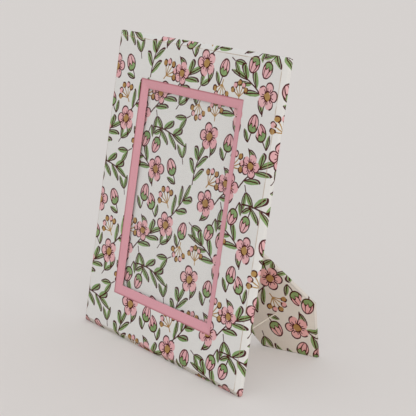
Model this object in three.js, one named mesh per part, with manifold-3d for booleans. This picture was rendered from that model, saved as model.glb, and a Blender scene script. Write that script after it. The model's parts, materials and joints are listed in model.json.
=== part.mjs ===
// A free-standing picture frame covered in cotton, for one photograph, with a two-way leg at the back.
// Millimetres, +Z up. The front faces -Y. The origin is the middle of the flat that the frame rests on.
import * as THREE from 'three';
import { ConvexGeometry } from 'three/addons/geometries/ConvexGeometry.js';
import { mergeVertices } from 'three/addons/utils/BufferGeometryUtils.js';
import Module from 'manifold-3d';

// Glazing, card and back panel all have this size and lie in one rebate
const PANEL_WIDTH = 127;
const PANEL_HEIGHT = 178;
const PANEL_FIT = 0.5;

// Border of the frame, from the rebate to its outer edge
const SIDE_BORDER = 22;
const END_BORDER = 17;

// Edges and stance of the frame
const LEAN_DEG = 10.4;
const FRONT_BEVEL_FACE = 3.5;
const FRONT_BEVEL_DEPTH = 2.5;
const BACK_BEVEL = 1.5;
const RESTING_FLAT = 0.2;

// Layers, from the front to the back
const CLOTH = 0.4;
const LAYER_GAP = 0.3;
const FRONT_BOARD = 1.7;
const GLAZING = 0.7;
const CARD = 0.4;
const BACK_BOARD = 1.1;

// Window, with its cotton binding sloping down into it
const WINDOW_WIDTH = 92;
const WINDOW_HEIGHT = 139;
const BINDING_SLOPE = 5.5;

// Leg, hinged on a line at 45 degrees, so that the frame stands upright or on its long side
const HINGE_FROM_CORNER = 158;
const LEG_ASIDE = 1.1;
const LEG_BOARD = 2.2;
const LEG_TOP_WIDTH = 40;
const LEG_FOOT_EDGE = 41.8;
const FOOT_FOLD = 1;
const FOOT_TRIM = 0.3;
const ROOT_LENGTH = 30;

// Stay cord, on the leg's middle line, and on the back near the panel's edge
const STAY_ON_LEG = 115;
const STAY_FROM_EDGE = 2.5;
const STAY_DIAMETER = 1;
const STAY_HOLE_GAP = 0.3;
const KNOT_RADIUS = 1.5;

// Turn buttons that hold the back panel
const BUTTON_REACH = 13;
const BUTTON_HEEL_RADIUS = 4.5;
const BUTTON_TIP_RADIUS = 3.2;
const BUTTON_THICKNESS = 0.8;
const BUTTON_INSET = 6;
const PIN_RADIUS = 1.2;
const PIN_GAP = 0.2;
const PIN_HEAD_RADIUS = 2.4;
const PIN_HEAD_HEIGHT = 0.9;
const PIN_DEPTH = 1.8;
const BUTTON_RISE = 53.5;
const BUTTON_DROP_ABOVE_LEG = 8.5;
const BUTTONS = [
  { side: -1, rise: -BUTTON_RISE },
  { side: -1, rise: BUTTON_RISE },
  { side: 1, rise: -BUTTON_DROP_ABOVE_LEG },
  { side: 1, rise: BUTTON_RISE },
];

// Fineness of round faces, and how far cutters run past what they cut
const ROUND_SIDES = 20;
const DOME_STEPS = 3;
const CORD_SIDES = 8;
const CORD_STEPS = 30;
const BEYOND = 5;
const FAR = 1000;

// Depths of the layers below the front plane
const boardFront = CLOTH + LAYER_GAP;
const boardBack = boardFront + FRONT_BOARD;
const glazingFront = boardBack + LAYER_GAP;
const glazingBack = glazingFront + GLAZING;
const cardFront = glazingBack + LAYER_GAP;
const cardBack = cardFront + CARD;
const panelFront = cardBack + LAYER_GAP;
const panelBack = panelFront + BACK_BOARD;
const backClothFront = panelBack + LAYER_GAP;
const thickness = backClothFront + CLOTH;

// The frame rests on the edge between its bottom and its back bevel, where y is 0
const frontY = BACK_BEVEL - thickness;
const lean = THREE.MathUtils.degToRad(LEAN_DEG);
const rebateWidth = PANEL_WIDTH + 2 * PANEL_FIT;
const rebateHeight = PANEL_HEIGHT + 2 * PANEL_FIT;
const frameWidth = rebateWidth + 2 * SIDE_BORDER;
const frameHeight = rebateHeight + 2 * END_BORDER;
const middleHeight = frameHeight / 2;

const wasm = await Module();
wasm.setup();

// Solids for cutting and joining

function toSolid(geometry) {
  const bare = geometry.clone();
  bare.deleteAttribute('normal');
  bare.deleteAttribute('uv');
  const merged = mergeVertices(bare, 1e-4);
  const mesh = new wasm.Mesh({
    numProp: 3,
    vertProperties: new Float32Array(merged.attributes.position.array),
    triVerts: new Uint32Array(merged.index.array),
  });
  return new wasm.Manifold(mesh);
}

function toGeometry(solid) {
  const mesh = solid.getMesh();
  const geometry = new THREE.BufferGeometry();
  geometry.setAttribute('position', new THREE.BufferAttribute(new Float32Array(mesh.vertProperties), 3));
  geometry.setIndex(new THREE.BufferAttribute(new Uint32Array(mesh.triVerts), 1));
  geometry.computeVertexNormals();
  return geometry;
}

function cutAll(solid, cutters) {
  return cutters.reduce((rest, cutter) => rest.subtract(cutter), solid);
}

// Convex solid through a stack of upright rectangles, each with its own depth below the front plane
function stack(rings) {
  const corners = [];
  for (const { halfWidth, low, high, depth } of rings) {
    for (const x of [-halfWidth, halfWidth]) {
      for (const z of [low, high]) corners.push(new THREE.Vector3(x, frontY + depth, z));
    }
  }
  return toSolid(new ConvexGeometry(corners));
}

// Rectangle about the middle of the frame
function ring(width, height, depth) {
  return { halfWidth: width / 2, low: middleHeight - height / 2, high: middleHeight + height / 2, depth };
}

function slab(width, height, from, to) {
  return stack([ring(width, height, from), ring(width, height, to)]);
}

function box(xFrom, xTo, zFrom, zTo, depthFrom, depthTo) {
  const geometry = new THREE.BoxGeometry(xTo - xFrom, depthTo - depthFrom, zTo - zFrom);
  geometry.translate((xFrom + xTo) / 2, frontY + (depthFrom + depthTo) / 2, (zFrom + zTo) / 2);
  return toSolid(geometry);
}

// Round bar along the depth of the frame
function depthBar(x, z, radius, depthFrom, depthTo) {
  const geometry = new THREE.CylinderGeometry(radius, radius, depthTo - depthFrom, ROUND_SIDES);
  geometry.translate(x, frontY + (depthFrom + depthTo) / 2, z);
  return toSolid(geometry);
}

// Body of the frame with its bevelled edges, drawn in by an even inset on every face
function frameBody(inset) {
  const slope = Math.atan2(FRONT_BEVEL_DEPTH, FRONT_BEVEL_FACE);
  const faceInset = FRONT_BEVEL_FACE + inset * Math.tan(slope / 2);
  const sideFront = FRONT_BEVEL_DEPTH + inset * Math.tan((Math.PI / 2 - slope) / 2);
  const backShift = inset * Math.tan(Math.PI / 8);
  const rings = [
    [faceInset, inset],
    [inset, sideFront],
    [inset, thickness - BACK_BEVEL - backShift],
    [BACK_BEVEL + backShift, thickness - inset],
  ];
  return stack(rings.map(([drawnIn, depth]) => (
    ring(frameWidth - 2 * drawnIn, frameHeight - 2 * drawnIn, depth)
  )));
}

// Window whose four sides slope in with the binding, widened by an even offset from the binding's face
const bindingSlope = Math.atan2(boardBack, BINDING_SLOPE);
const bindingLip = CLOTH / Math.sin(bindingSlope);
const bindingWidth = BINDING_SLOPE + bindingLip;

function windowVoid(offset, depthFrom, depthTo) {
  const widening = offset / Math.sin(bindingSlope);
  const rings = [depthFrom, depthTo].map((depth) => {
    const reach = BINDING_SLOPE * (1 - depth / boardBack) + widening;
    return ring(WINDOW_WIDTH + 2 * reach, WINDOW_HEIGHT + 2 * reach, depth);
  });
  return stack(rings);
}

// Groups: the frame leans back, and the leg turns about the hinge line

const pictureFrame = new THREE.Group();
const leaningFrame = new THREE.Group();
const flatBefore = RESTING_FLAT / Math.tan(lean);
const flatBehind = RESTING_FLAT / Math.tan(Math.PI / 4 - lean);
leaningFrame.rotation.x = -lean;
leaningFrame.position.set(0, (flatBefore - flatBehind) / 2, -RESTING_FLAT);
pictureFrame.add(leaningFrame);

const legThickness = LEG_BOARD + 2 * (CLOTH + LAYER_GAP);
const hingeY = BACK_BEVEL + LAYER_GAP + legThickness;
const hingeHeight = HINGE_FROM_CORNER * Math.SQRT1_2;
const hingeX = frameWidth / 2 - hingeHeight + LEG_ASIDE;
const hingeLine = new THREE.Vector3(1, 0, 1).normalize();
const downLeg = new THREE.Vector3(1, 0, -1).normalize();
const outward = new THREE.Vector3(0, 1, 0);
const legMount = new THREE.Group();
legMount.position.set(hingeX, hingeY, hingeHeight);
legMount.quaternion.setFromRotationMatrix(new THREE.Matrix4().makeBasis(hingeLine, downLeg, outward));
leaningFrame.add(legMount);

// The foot's lower edge lies along the frame's bottom when the leg is shut, and on the table at this opening
const opening = 2 * Math.atan(Math.SQRT2 * Math.tan(lean));
const leg = new THREE.Group();
leg.rotation.x = opening;
legMount.add(leg);
pictureFrame.updateMatrixWorld(true);

// Everything below the table, brought into a group's own frame by a matrix
function belowTable(fromWorld) {
  const geometry = new THREE.BoxGeometry(FAR, FAR, FAR);
  geometry.translate(0, 0, -FAR / 2);
  geometry.applyMatrix4(fromWorld);
  return toSolid(geometry);
}

// Materials

const printedCotton = new THREE.MeshStandardMaterial({ color: 0xdedbd3, roughness: 0.9, metalness: 0 });
const pinkCotton = new THREE.MeshStandardMaterial({ color: 0xd5939c, roughness: 0.9, metalness: 0 });
const greyBoard = new THREE.MeshStandardMaterial({ color: 0x9b9185, roughness: 0.95, metalness: 0 });
const clearSheet = new THREE.MeshStandardMaterial({
  color: 0xffffff, roughness: 0.05, metalness: 0, transparent: true, opacity: 0.15,
});
const printedCard = new THREE.MeshStandardMaterial({ color: 0xdcdad4, roughness: 0.7, metalness: 0 });
const brassPlate = new THREE.MeshStandardMaterial({ color: 0xb08d4c, roughness: 0.35, metalness: 1 });
const cordYarn = new THREE.MeshStandardMaterial({ color: 0xe4dccb, roughness: 0.9, metalness: 0 });

function addPiece(group, name, geometry, material) {
  const mesh = new THREE.Mesh(geometry, material);
  mesh.name = name;
  group.add(mesh);
  return mesh;
}

// Front: cotton skin, board ring and window binding

const buttonPlaces = BUTTONS.map(({ side, rise }, index) => ({
  number: index + 1, side, x: side * (rebateWidth / 2 + BUTTON_INSET), z: middleHeight + rise,
}));
const pinHoles = buttonPlaces.map(({ x, z }) => (
  depthBar(x, z, PIN_RADIUS + PIN_GAP, panelBack - PIN_DEPTH - LAYER_GAP, thickness + BEYOND)
));
const table = belowTable(leaningFrame.matrixWorld.clone().invert());

function makeFrontCover() {
  const outerWidth = WINDOW_WIDTH + 2 * (bindingWidth + LAYER_GAP);
  const outerHeight = WINDOW_HEIGHT + 2 * (bindingWidth + LAYER_GAP);
  const window = slab(outerWidth, outerHeight, -BEYOND, boardBack);
  const rebate = slab(rebateWidth, rebateHeight, boardBack, thickness + BEYOND);
  return cutAll(frameBody(0), [frameBody(CLOTH), window, rebate, table, ...pinHoles]);
}
addPiece(leaningFrame, 'front_cover', toGeometry(makeFrontCover()), printedCotton);

function makeFrontBoard() {
  const front = slab(frameWidth, frameHeight, 0, boardBack);
  const window = windowVoid(CLOTH + LAYER_GAP, -BEYOND, boardBack + 1);
  return frameBody(CLOTH + LAYER_GAP).intersect(front).subtract(window);
}
addPiece(leaningFrame, 'front_board', toGeometry(makeFrontBoard()), greyBoard);

function makeWindowBinding() {
  return windowVoid(CLOTH, 0, boardBack).subtract(windowVoid(0, -1, boardBack + 1));
}
addPiece(leaningFrame, 'window_binding', toGeometry(makeWindowBinding()), pinkCotton);

// Rails: strips of board round the rebate

function makeRail(xFrom, xTo, zFrom, zTo) {
  const strip = box(xFrom, xTo, zFrom, zTo, glazingFront, panelBack);
  return cutAll(frameBody(CLOTH + LAYER_GAP).intersect(strip), pinHoles);
}

const rebateLow = middleHeight - rebateHeight / 2;
const rebateHigh = middleHeight + rebateHeight / 2;
const rails = {
  rail_top: [-FAR, FAR, rebateHigh, FAR],
  rail_bottom: [-FAR, FAR, -FAR, rebateLow],
  rail_left: [-FAR, -rebateWidth / 2, rebateLow + LAYER_GAP, rebateHigh - LAYER_GAP],
  rail_right: [rebateWidth / 2, FAR, rebateLow + LAYER_GAP, rebateHigh - LAYER_GAP],
};
for (const [name, sides] of Object.entries(rails)) {
  addPiece(leaningFrame, name, toGeometry(makeRail(...sides)), greyBoard);
}

// Glazing, card and back panel

const glazing = slab(PANEL_WIDTH, PANEL_HEIGHT, glazingFront, glazingBack);
addPiece(leaningFrame, 'glazing', toGeometry(glazing), clearSheet);
const card = slab(PANEL_WIDTH, PANEL_HEIGHT, cardFront, cardBack);
addPiece(leaningFrame, 'insert_card', toGeometry(card), printedCard);

const stayX = PANEL_WIDTH / 2 - STAY_FROM_EDGE;
const stayZ = frameWidth / 2 - stayX;
const stayHoleRadius = STAY_DIAMETER / 2 + STAY_HOLE_GAP;
const stayHole = depthBar(stayX, stayZ, stayHoleRadius, panelFront - BEYOND, thickness + BEYOND);
const backBoard = slab(PANEL_WIDTH, PANEL_HEIGHT, panelFront, panelBack);
addPiece(leaningFrame, 'back_board', toGeometry(backBoard.subtract(stayHole)), greyBoard);
const backCloth = slab(PANEL_WIDTH, PANEL_HEIGHT, backClothFront, thickness);
addPiece(leaningFrame, 'back_cover', toGeometry(backCloth.subtract(stayHole)), printedCotton);

// Leg: drawn in its own plane, with x along the hinge, y down the leg and z out of its back

const footY = Math.cos(lean) * Math.cos(opening) * Math.SQRT1_2 + Math.sin(lean) * Math.sin(opening);
const hingeAboveTable = hingeHeight * Math.cos(lean) - hingeY * Math.sin(lean) - RESTING_FLAT;
const legLength = hingeAboveTable / footY;
const shoulder = LEG_FOOT_EDGE * Math.SQRT1_2;
const creaseGap = LAYER_GAP / 2;

// Outline of the leg drawn in by one inset along its sides and another along its two foot edges
function legOutline(sideInset, footInset, top) {
  const taper = (shoulder - LEG_TOP_WIDTH / 2) / (legLength - shoulder);
  const sideShift = sideInset * Math.hypot(1, taper);
  const tip = legLength - footInset * Math.SQRT2;
  const halfWidth = (y) => LEG_TOP_WIDTH / 2 + taper * y - sideShift;
  const shoulderY = (tip - LEG_TOP_WIDTH / 2 + sideShift) / (1 + taper);
  const outline = new THREE.Shape();
  outline.moveTo(-halfWidth(top), top);
  outline.lineTo(halfWidth(top), top);
  outline.lineTo(halfWidth(shoulderY), shoulderY);
  outline.lineTo(0, tip);
  outline.lineTo(-halfWidth(shoulderY), shoulderY);
  outline.closePath();
  return outline;
}

function legPlate(outline, from, to) {
  const geometry = new THREE.ExtrudeGeometry(outline, { depth: to - from, bevelEnabled: false });
  geometry.translate(0, 0, from);
  return toSolid(geometry);
}

function legHole() {
  const geometry = new THREE.CylinderGeometry(stayHoleRadius, stayHoleRadius, FAR, ROUND_SIDES);
  geometry.rotateX(Math.PI / 2);
  geometry.translate(0, STAY_ON_LEG, 0);
  return toSolid(geometry);
}

// The foot is cut level with the table, and its other edge the same way for standing on the long side
function footCuts() {
  const mirror = new THREE.Matrix4().makeScale(-1, 1, 1);
  const upright = leg.matrixWorld.clone().invert();
  const sideways = mirror.clone().multiply(upright).multiply(mirror);
  return [belowTable(upright), belowTable(sideways)];
}

const cavityInset = CLOTH + LAYER_GAP;
function makeLegCover() {
  const sleeve = legPlate(legOutline(0, -FOOT_TRIM, creaseGap), -legThickness, 0);
  const hollow = legPlate(legOutline(CLOTH, FOOT_FOLD, -BEYOND), CLOTH - legThickness, -CLOTH);
  return cutAll(sleeve, [hollow, legHole(), ...footCuts()]);
}
addPiece(leg, 'leg_cover', toGeometry(makeLegCover()), printedCotton);

function makeLegBoard() {
  const outline = legOutline(cavityInset, FOOT_FOLD + LAYER_GAP, creaseGap);
  return legPlate(outline, cavityInset - legThickness, -cavityInset).subtract(legHole());
}
addPiece(leg, 'leg_board', toGeometry(makeLegBoard()), greyBoard);

// Root of the leg, glued to the back panel, with the cloth that is the hinge over it

function rootPlate(inset, from, to) {
  const half = LEG_TOP_WIDTH / 2 - inset;
  const outline = new THREE.Shape();
  outline.moveTo(-half, -ROOT_LENGTH + inset);
  outline.lineTo(half, -ROOT_LENGTH + inset);
  outline.lineTo(half, -creaseGap);
  outline.lineTo(-half, -creaseGap);
  outline.closePath();
  return legPlate(outline, from, to);
}
addPiece(legMount, 'leg_root', toGeometry(rootPlate(CLOTH, -legThickness, -cavityInset)), greyBoard);
addPiece(legMount, 'hinge_cloth', toGeometry(rootPlate(0, -CLOTH, 0)), printedCotton);

// Stay cord: from its hole in the back panel straight to the leg, and through the leg to its knot

function cordPoints() {
  const toFrame = legMount.matrix.clone().multiply(leg.matrix);
  const onLeg = (z) => new THREE.Vector3(0, STAY_ON_LEG, z).applyMatrix4(toFrame);
  const onBack = (y) => new THREE.Vector3(stayX, y, stayZ);
  const leaves = onBack(BACK_BEVEL + STAY_DIAMETER);
  const arrives = onLeg(-legThickness - STAY_DIAMETER);
  return [
    onBack(frontY + panelFront),
    leaves,
    leaves.clone().lerp(arrives, 0.25),
    leaves.clone().lerp(arrives, 0.5),
    leaves.clone().lerp(arrives, 0.75),
    arrives,
    onLeg(0),
  ];
}

function makeCord() {
  const section = new THREE.Shape();
  for (let side = 0; side < CORD_SIDES; side += 1) {
    const angle = (2 * Math.PI * side) / CORD_SIDES;
    const x = (STAY_DIAMETER / 2) * Math.cos(angle);
    const y = (STAY_DIAMETER / 2) * Math.sin(angle);
    if (side === 0) section.moveTo(x, y);
    else section.lineTo(x, y);
  }
  section.closePath();
  const route = new THREE.CatmullRomCurve3(cordPoints());
  return new THREE.ExtrudeGeometry(section, { steps: CORD_STEPS, extrudePath: route, bevelEnabled: false });
}
addPiece(leaningFrame, 'stay_cord', toGeometry(toSolid(makeCord())), cordYarn);

const knot = new THREE.SphereGeometry(KNOT_RADIUS, ROUND_SIDES, ROUND_SIDES / 2);
knot.translate(0, STAY_ON_LEG, KNOT_RADIUS + LAYER_GAP);
addPiece(leg, 'stay_knot', toGeometry(toSolid(knot)), cordYarn);

// Turn buttons and their pins

const buttonFront = thickness + LAYER_GAP;
const buttonBack = buttonFront + BUTTON_THICKNESS;

function makeTurnButton(side) {
  const tipX = BUTTON_REACH - BUTTON_TIP_RADIUS;
  const outline = new THREE.Shape();
  outline.absarc(0, 0, BUTTON_HEEL_RADIUS, Math.PI / 2, (3 * Math.PI) / 2, false);
  outline.absarc(tipX, 0, BUTTON_TIP_RADIUS, -Math.PI / 2, Math.PI / 2, false);
  outline.closePath();
  const hole = new THREE.Path();
  hole.absarc(0, 0, PIN_RADIUS + PIN_GAP, 0, 2 * Math.PI, true);
  outline.holes.push(hole);
  const geometry = new THREE.ExtrudeGeometry(outline, {
    depth: BUTTON_THICKNESS, bevelEnabled: false, curveSegments: ROUND_SIDES / 2,
  });
  geometry.rotateZ(side > 0 ? Math.PI : 0);
  geometry.rotateX(Math.PI / 2);
  return toGeometry(toSolid(geometry));
}

function makePin() {
  const headFront = buttonBack + PIN_GAP;
  const shankFront = panelBack - PIN_DEPTH;
  const profile = [
    new THREE.Vector2(0, shankFront),
    new THREE.Vector2(PIN_RADIUS, shankFront),
    new THREE.Vector2(PIN_RADIUS, headFront),
  ];
  for (let step = 0; step < DOME_STEPS; step += 1) {
    const angle = ((Math.PI / 2) * step) / DOME_STEPS;
    const radius = PIN_HEAD_RADIUS * Math.cos(angle);
    profile.push(new THREE.Vector2(radius, headFront + PIN_HEAD_HEIGHT * Math.sin(angle)));
  }
  profile.push(new THREE.Vector2(0, headFront + PIN_HEAD_HEIGHT));
  return toGeometry(toSolid(new THREE.LatheGeometry(profile, ROUND_SIDES)));
}

for (const { number, side, x, z } of buttonPlaces) {
  const button = addPiece(leaningFrame, `turn_button_${number}`, makeTurnButton(side), brassPlate);
  button.position.set(x, frontY + buttonBack, z);
  const pin = addPiece(leaningFrame, `turn_button_pin_${number}`, makePin(), brassPlate);
  pin.position.set(x, frontY, z);
}

export default pictureFrame;
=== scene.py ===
# %% [markdown]
# # A picture frame of boards and printed cotton
# The real frame is a stack of stiff boards with cotton glued round them. A pink band slopes down into
# its window, and a folding leg on a cord holds it up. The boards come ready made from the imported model,
# so this lesson dresses them: cloth skins, a printed pattern made only of maths nodes, a twisted cord,
# brass fittings and soft light.

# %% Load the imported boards
import json
import math
import bpy
from mathutils import Matrix, Vector, noise


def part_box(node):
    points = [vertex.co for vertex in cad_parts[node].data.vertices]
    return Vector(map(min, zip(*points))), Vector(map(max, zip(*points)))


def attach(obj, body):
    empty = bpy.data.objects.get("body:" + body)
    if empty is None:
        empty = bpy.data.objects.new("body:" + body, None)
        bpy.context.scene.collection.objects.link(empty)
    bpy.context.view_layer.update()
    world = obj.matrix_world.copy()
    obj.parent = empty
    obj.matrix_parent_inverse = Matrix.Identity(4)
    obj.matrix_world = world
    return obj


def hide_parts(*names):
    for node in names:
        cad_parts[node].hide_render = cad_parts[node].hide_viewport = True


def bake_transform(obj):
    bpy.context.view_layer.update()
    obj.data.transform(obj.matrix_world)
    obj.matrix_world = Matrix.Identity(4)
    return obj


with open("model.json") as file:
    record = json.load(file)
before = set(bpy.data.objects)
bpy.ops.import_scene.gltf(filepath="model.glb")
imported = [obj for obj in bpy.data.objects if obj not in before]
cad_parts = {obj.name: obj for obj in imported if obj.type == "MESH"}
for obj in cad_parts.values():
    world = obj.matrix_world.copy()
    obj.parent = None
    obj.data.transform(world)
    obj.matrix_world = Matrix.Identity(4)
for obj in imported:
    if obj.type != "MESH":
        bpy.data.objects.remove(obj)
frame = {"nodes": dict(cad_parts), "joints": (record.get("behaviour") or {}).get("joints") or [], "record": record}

scene = bpy.context.scene
scene.view_settings.view_transform = "Standard"
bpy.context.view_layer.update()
joints = {joint["name"]: joint for joint in frame["joints"]}
print("boards and fittings:", len(frame["nodes"]), "moving joints:", len(joints))

# %% [markdown]
# ## Names for the finishes
# Every cloth, board and fitting has a material of its own. A mesh only has to know which one it wears,
# so they are all made empty here, and get their nodes later, when the pieces and their flat cloth
# places are known.

# %% Name the finishes
FINISH_NAMES = ("printed_cotton", "back_cotton", "leg_cotton", "leg_edge_painted_shade", "leg_inner_painted_light", "pink_cotton",
                "grey_board", "clear_sheet", "printed_card", "cord_yarn", "brass_plate", "floor_paper")
finishes = {name: bpy.data.materials.new(name) for name in FINISH_NAMES}
print("finishes:", len(finishes))

# %% [markdown]
# ## Three sets of axes
# The frame leans back, and its leg stands at an angle to it. It is easier to shape cloth in millimetres
# on each board than in the room, so three small functions carry a point from a board's own axes into
# the room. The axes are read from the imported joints, so they can't drift away from the boards.

# %% Axes of the frame, of the leg's fixed root and of the leg
MM = 0.001
GLAZING_MIDDLE_DEPTH = 3.05
across = Vector((1.0, 0.0, 0.0))
backward = Vector(joints["turn_button_1_swivel"]["axis"])
upward = Vector((0.0, -backward.z, backward.y))
glazing_low, glazing_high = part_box("glazing")
front_middle = (glazing_low + glazing_high) / 2 - backward * GLAZING_MIDDLE_DEPTH * MM
hinge = Vector(joints["leg_fold"]["pos_m"])
hinge_line = Vector(joints["leg_fold"]["axis"])
opening = math.radians(-joints["leg_fold"]["range_deg"][0])
down_back = backward.cross(hinge_line)
down_leg = down_back * math.cos(opening) + backward * math.sin(opening)
off_leg = backward * math.cos(opening) - down_back * math.sin(opening)
leg_length = hinge.z / -down_leg.z / MM


def on_frame(x, up, depth):
    """From the frame's middle to the right and up, and back from its front."""
    return front_middle + (across * x + upward * up + backward * depth) * MM


def on_root(x, y, z):
    """Along the hinge, down the back and out from the leg root's outer face."""
    return hinge + (hinge_line * x + down_back * y + backward * z) * MM


def on_leg(x, y, z):
    """Along the hinge, down the open leg and out from its outer face."""
    return hinge + (hinge_line * x + down_leg * y + off_leg * z) * MM


print("leg length", round(leg_length, 1), "mm, opened by", round(math.degrees(opening), 1), "degrees")

# %% [markdown]
# ## The camera
# The photograph was matched with a pinhole camera: the frame's folds, the window's corners and the
# leg's foot fall on their places when the lens stands here. A long lens keeps the frame's sides nearly
# parallel.

# %% Place the camera
SENSOR_WIDTH = 36.0
LENS = 98.79
CAMERA_PLACE = (0.57497, -0.43485, 0.31371)
CAMERA_AHEAD = Vector((-0.73769, 0.61467, -0.27926))


def shown(name, data):
    """An object that holds some data, put into the scene."""
    thing = bpy.data.objects.new(name, data)
    scene.collection.objects.link(thing)
    return thing


camera_data = bpy.data.cameras.new("camera")
camera_data.sensor_width = SENSOR_WIDTH
camera_data.lens = LENS
camera = shown("camera", camera_data)
camera.location = CAMERA_PLACE
camera.rotation_euler = CAMERA_AHEAD.to_track_quat("-Z", "Y").to_euler()
scene.camera = camera
print("camera lens", LENS, "mm")

# %% [markdown]
# ## Writing a node tree
# Things that repeat are made with Geometry Nodes. Clicking a tree together takes one step for each node
# and one for each link. In a script two small helpers do both, and a third one ends every tree in the
# same way, because instances would be lost on the way out.

# %% Helpers that write a tree
def added(tree, kind, values=None, **settings):
    """A new node with its settings, and with plain values on some of its inputs."""
    node = tree.nodes.new(kind)
    for title, setting in settings.items():
        setattr(node, title, setting)
    for socket, value in (values or {}).items():
        node.inputs[socket].default_value = value
    return node


def linked(tree, *pairs):
    for start, end in pairs:
        tree.links.new(start, end)


def geometry_tree(name, inputs):
    tree = bpy.data.node_groups.new(name, "GeometryNodeTree")
    for title, kind in inputs.items():
        tree.interface.new_socket(title, in_out="INPUT", socket_type="NodeSocket" + kind)
    tree.interface.new_socket("Geometry", in_out="OUTPUT", socket_type="NodeSocketGeometry")
    return tree, added(tree, "NodeGroupInput").outputs, added(tree, "NodeGroupOutput").inputs


def realized(tree, geometry, finish, result):
    """Every tree ends the same way: real faces that carry their finish."""
    realize = added(tree, "GeometryNodeRealizeInstances")
    paint = added(tree, "GeometryNodeSetMaterial")
    linked(tree, (geometry, realize.inputs[0]), (realize.outputs[0], paint.inputs["Geometry"]),
           (finish, paint.inputs["Material"]), (paint.outputs[0], result))


print("tree helpers ready")

# %% [markdown]
# ## Growing a mesh from a tree
# A tree works as a modifier on some seed object. Left live it would be worked out again at every
# change, so it runs once here. The evaluated result becomes a plain mesh, is moved to its place, and
# the seed goes.

# %% Run a tree once
def plain_mesh(model):
    """What a model looks like with its modifiers, as a mesh of its own. The model goes."""
    graph = bpy.context.evaluated_depsgraph_get()
    mesh = bpy.data.meshes.new_from_object(model.evaluated_get(graph), depsgraph=graph)
    bpy.data.objects.remove(model)
    return mesh


def grown_mesh(name, tree, values, place, seeds=()):
    """A geometry tree's result as a plain mesh, moved to its place."""
    seed_mesh = bpy.data.meshes.new(name + "_seed")
    seed_mesh.from_pydata([tuple(seed) for seed in seeds], [], [])
    seed = shown(name + "_seed", seed_mesh)
    modifier = seed.modifiers.new("grow", "NODES")
    modifier.node_group = tree
    sockets = {item.name: item.identifier for item in tree.interface.items_tree if item.in_out == "INPUT"}
    for title, value in values.items():
        modifier[sockets[title]] = value
    mesh = plain_mesh(seed)
    mesh.transform(place)
    return shown(name, mesh)


print("mesh grower ready")

# %% [markdown]
# ## The stay cord
# A thin cotton cord stops the leg from sliding out. A rope could be a plain tube with a striped bump,
# but three real plies catch light as yarn does. The tree winds one ply as a spiral and places it three
# times round the same line, each copy turned by a third.

# %% Node tree that winds three plies
PLIES = 3
PLY_SIDES = 7
STEPS_IN_A_TURN = 12


def twisted_cord_tree():
    tree, sizes, result = geometry_tree("twisted_cord", {
        "Length": "Float", "Turns": "Float", "Wind Radius": "Float", "Ply Radius": "Float",
        "Finish": "Material"})
    spiral = added(tree, "GeometryNodeCurveSpiral", {"Resolution": STEPS_IN_A_TURN})
    section = added(tree, "GeometryNodeCurvePrimitiveCircle", {"Resolution": PLY_SIDES})
    ply = added(tree, "GeometryNodeCurveToMesh")
    places = added(tree, "GeometryNodeMeshLine", {"Count": PLIES, "Offset": (0.0, 0.0, 0.0)})
    number = added(tree, "GeometryNodeInputIndex")
    share = added(tree, "ShaderNodeMath", {1: 2 * math.pi / PLIES}, operation="MULTIPLY")
    turn = added(tree, "ShaderNodeCombineXYZ")
    copies = added(tree, "GeometryNodeInstanceOnPoints")
    linked(
        tree,
        (sizes["Length"], spiral.inputs["Height"]), (sizes["Turns"], spiral.inputs["Rotations"]),
        (sizes["Wind Radius"], spiral.inputs["Start Radius"]),
        (sizes["Wind Radius"], spiral.inputs["End Radius"]),
        (sizes["Ply Radius"], section.inputs["Radius"]), (spiral.outputs["Curve"], ply.inputs["Curve"]),
        (section.outputs["Curve"], ply.inputs["Profile Curve"]), (number.outputs[0], share.inputs[0]),
        (share.outputs[0], turn.inputs["Z"]), (places.outputs["Mesh"], copies.inputs["Points"]),
        (ply.outputs["Mesh"], copies.inputs["Instance"]), (turn.outputs[0], copies.inputs["Rotation"]))
    realized(tree, copies.outputs[0], sizes["Finish"], result["Geometry"])
    return tree


cord_tree = twisted_cord_tree()
print("cord tree has", len(cord_tree.nodes), "nodes")

# %% [markdown]
# ## The cord's run
# The cord is taut when the leg is open, so its run is a straight line from a hole in the back panel to
# a hole in the leg.

# %% Run the cord from the back panel to the leg
CORD_DIAMETER = 1.0
PLY_RADIUS = 0.27
PLY_PITCH = 2.6
STAY_ANCHOR = (61.0, -81.5)
STAY_ON_LEG = 115.0
BACK_DEPTH = 6.2
LEG_THICKNESS = 3.6
IN_PANEL, IN_LEG = 0.5, 0.9
PATH_STEPS = 20
cord_start = on_frame(*STAY_ANCHOR, BACK_DEPTH - IN_PANEL)
cord_end = on_leg(0.0, STAY_ON_LEG, IN_LEG - LEG_THICKNESS)
cord_run = cord_end - cord_start
cord_turn = cord_run.to_track_quat("Z", "Y").to_matrix().to_4x4()
cord_sizes = {
    "Length": cord_run.length, "Turns": cord_run.length / (PLY_PITCH * MM),
    "Wind Radius": (CORD_DIAMETER / 2 - PLY_RADIUS) * MM, "Ply Radius": PLY_RADIUS * MM,
    "Finish": finishes["cord_yarn"]}
stay_cord = grown_mesh("stay_cord_plies", cord_tree, cord_sizes, Matrix.Translation(cord_start) @ cord_turn)
cord_path = [tuple(cord_start + cord_run * step / PATH_STEPS) for step in range(PATH_STEPS + 1)]
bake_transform(stay_cord)
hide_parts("stay_cord")
print("stay cord", round(cord_run.length / MM, 1), "mm,", len(stay_cord.data.polygons), "faces")

# %% [markdown]
# ## The knot
# On the leg's far side the cord ends in a plain overhand knot with a short tail. It could be modelled
# by hand, but its middle line has a formula, the trefoil curve, so a curve with a round bevel follows
# that and becomes a mesh.

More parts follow.
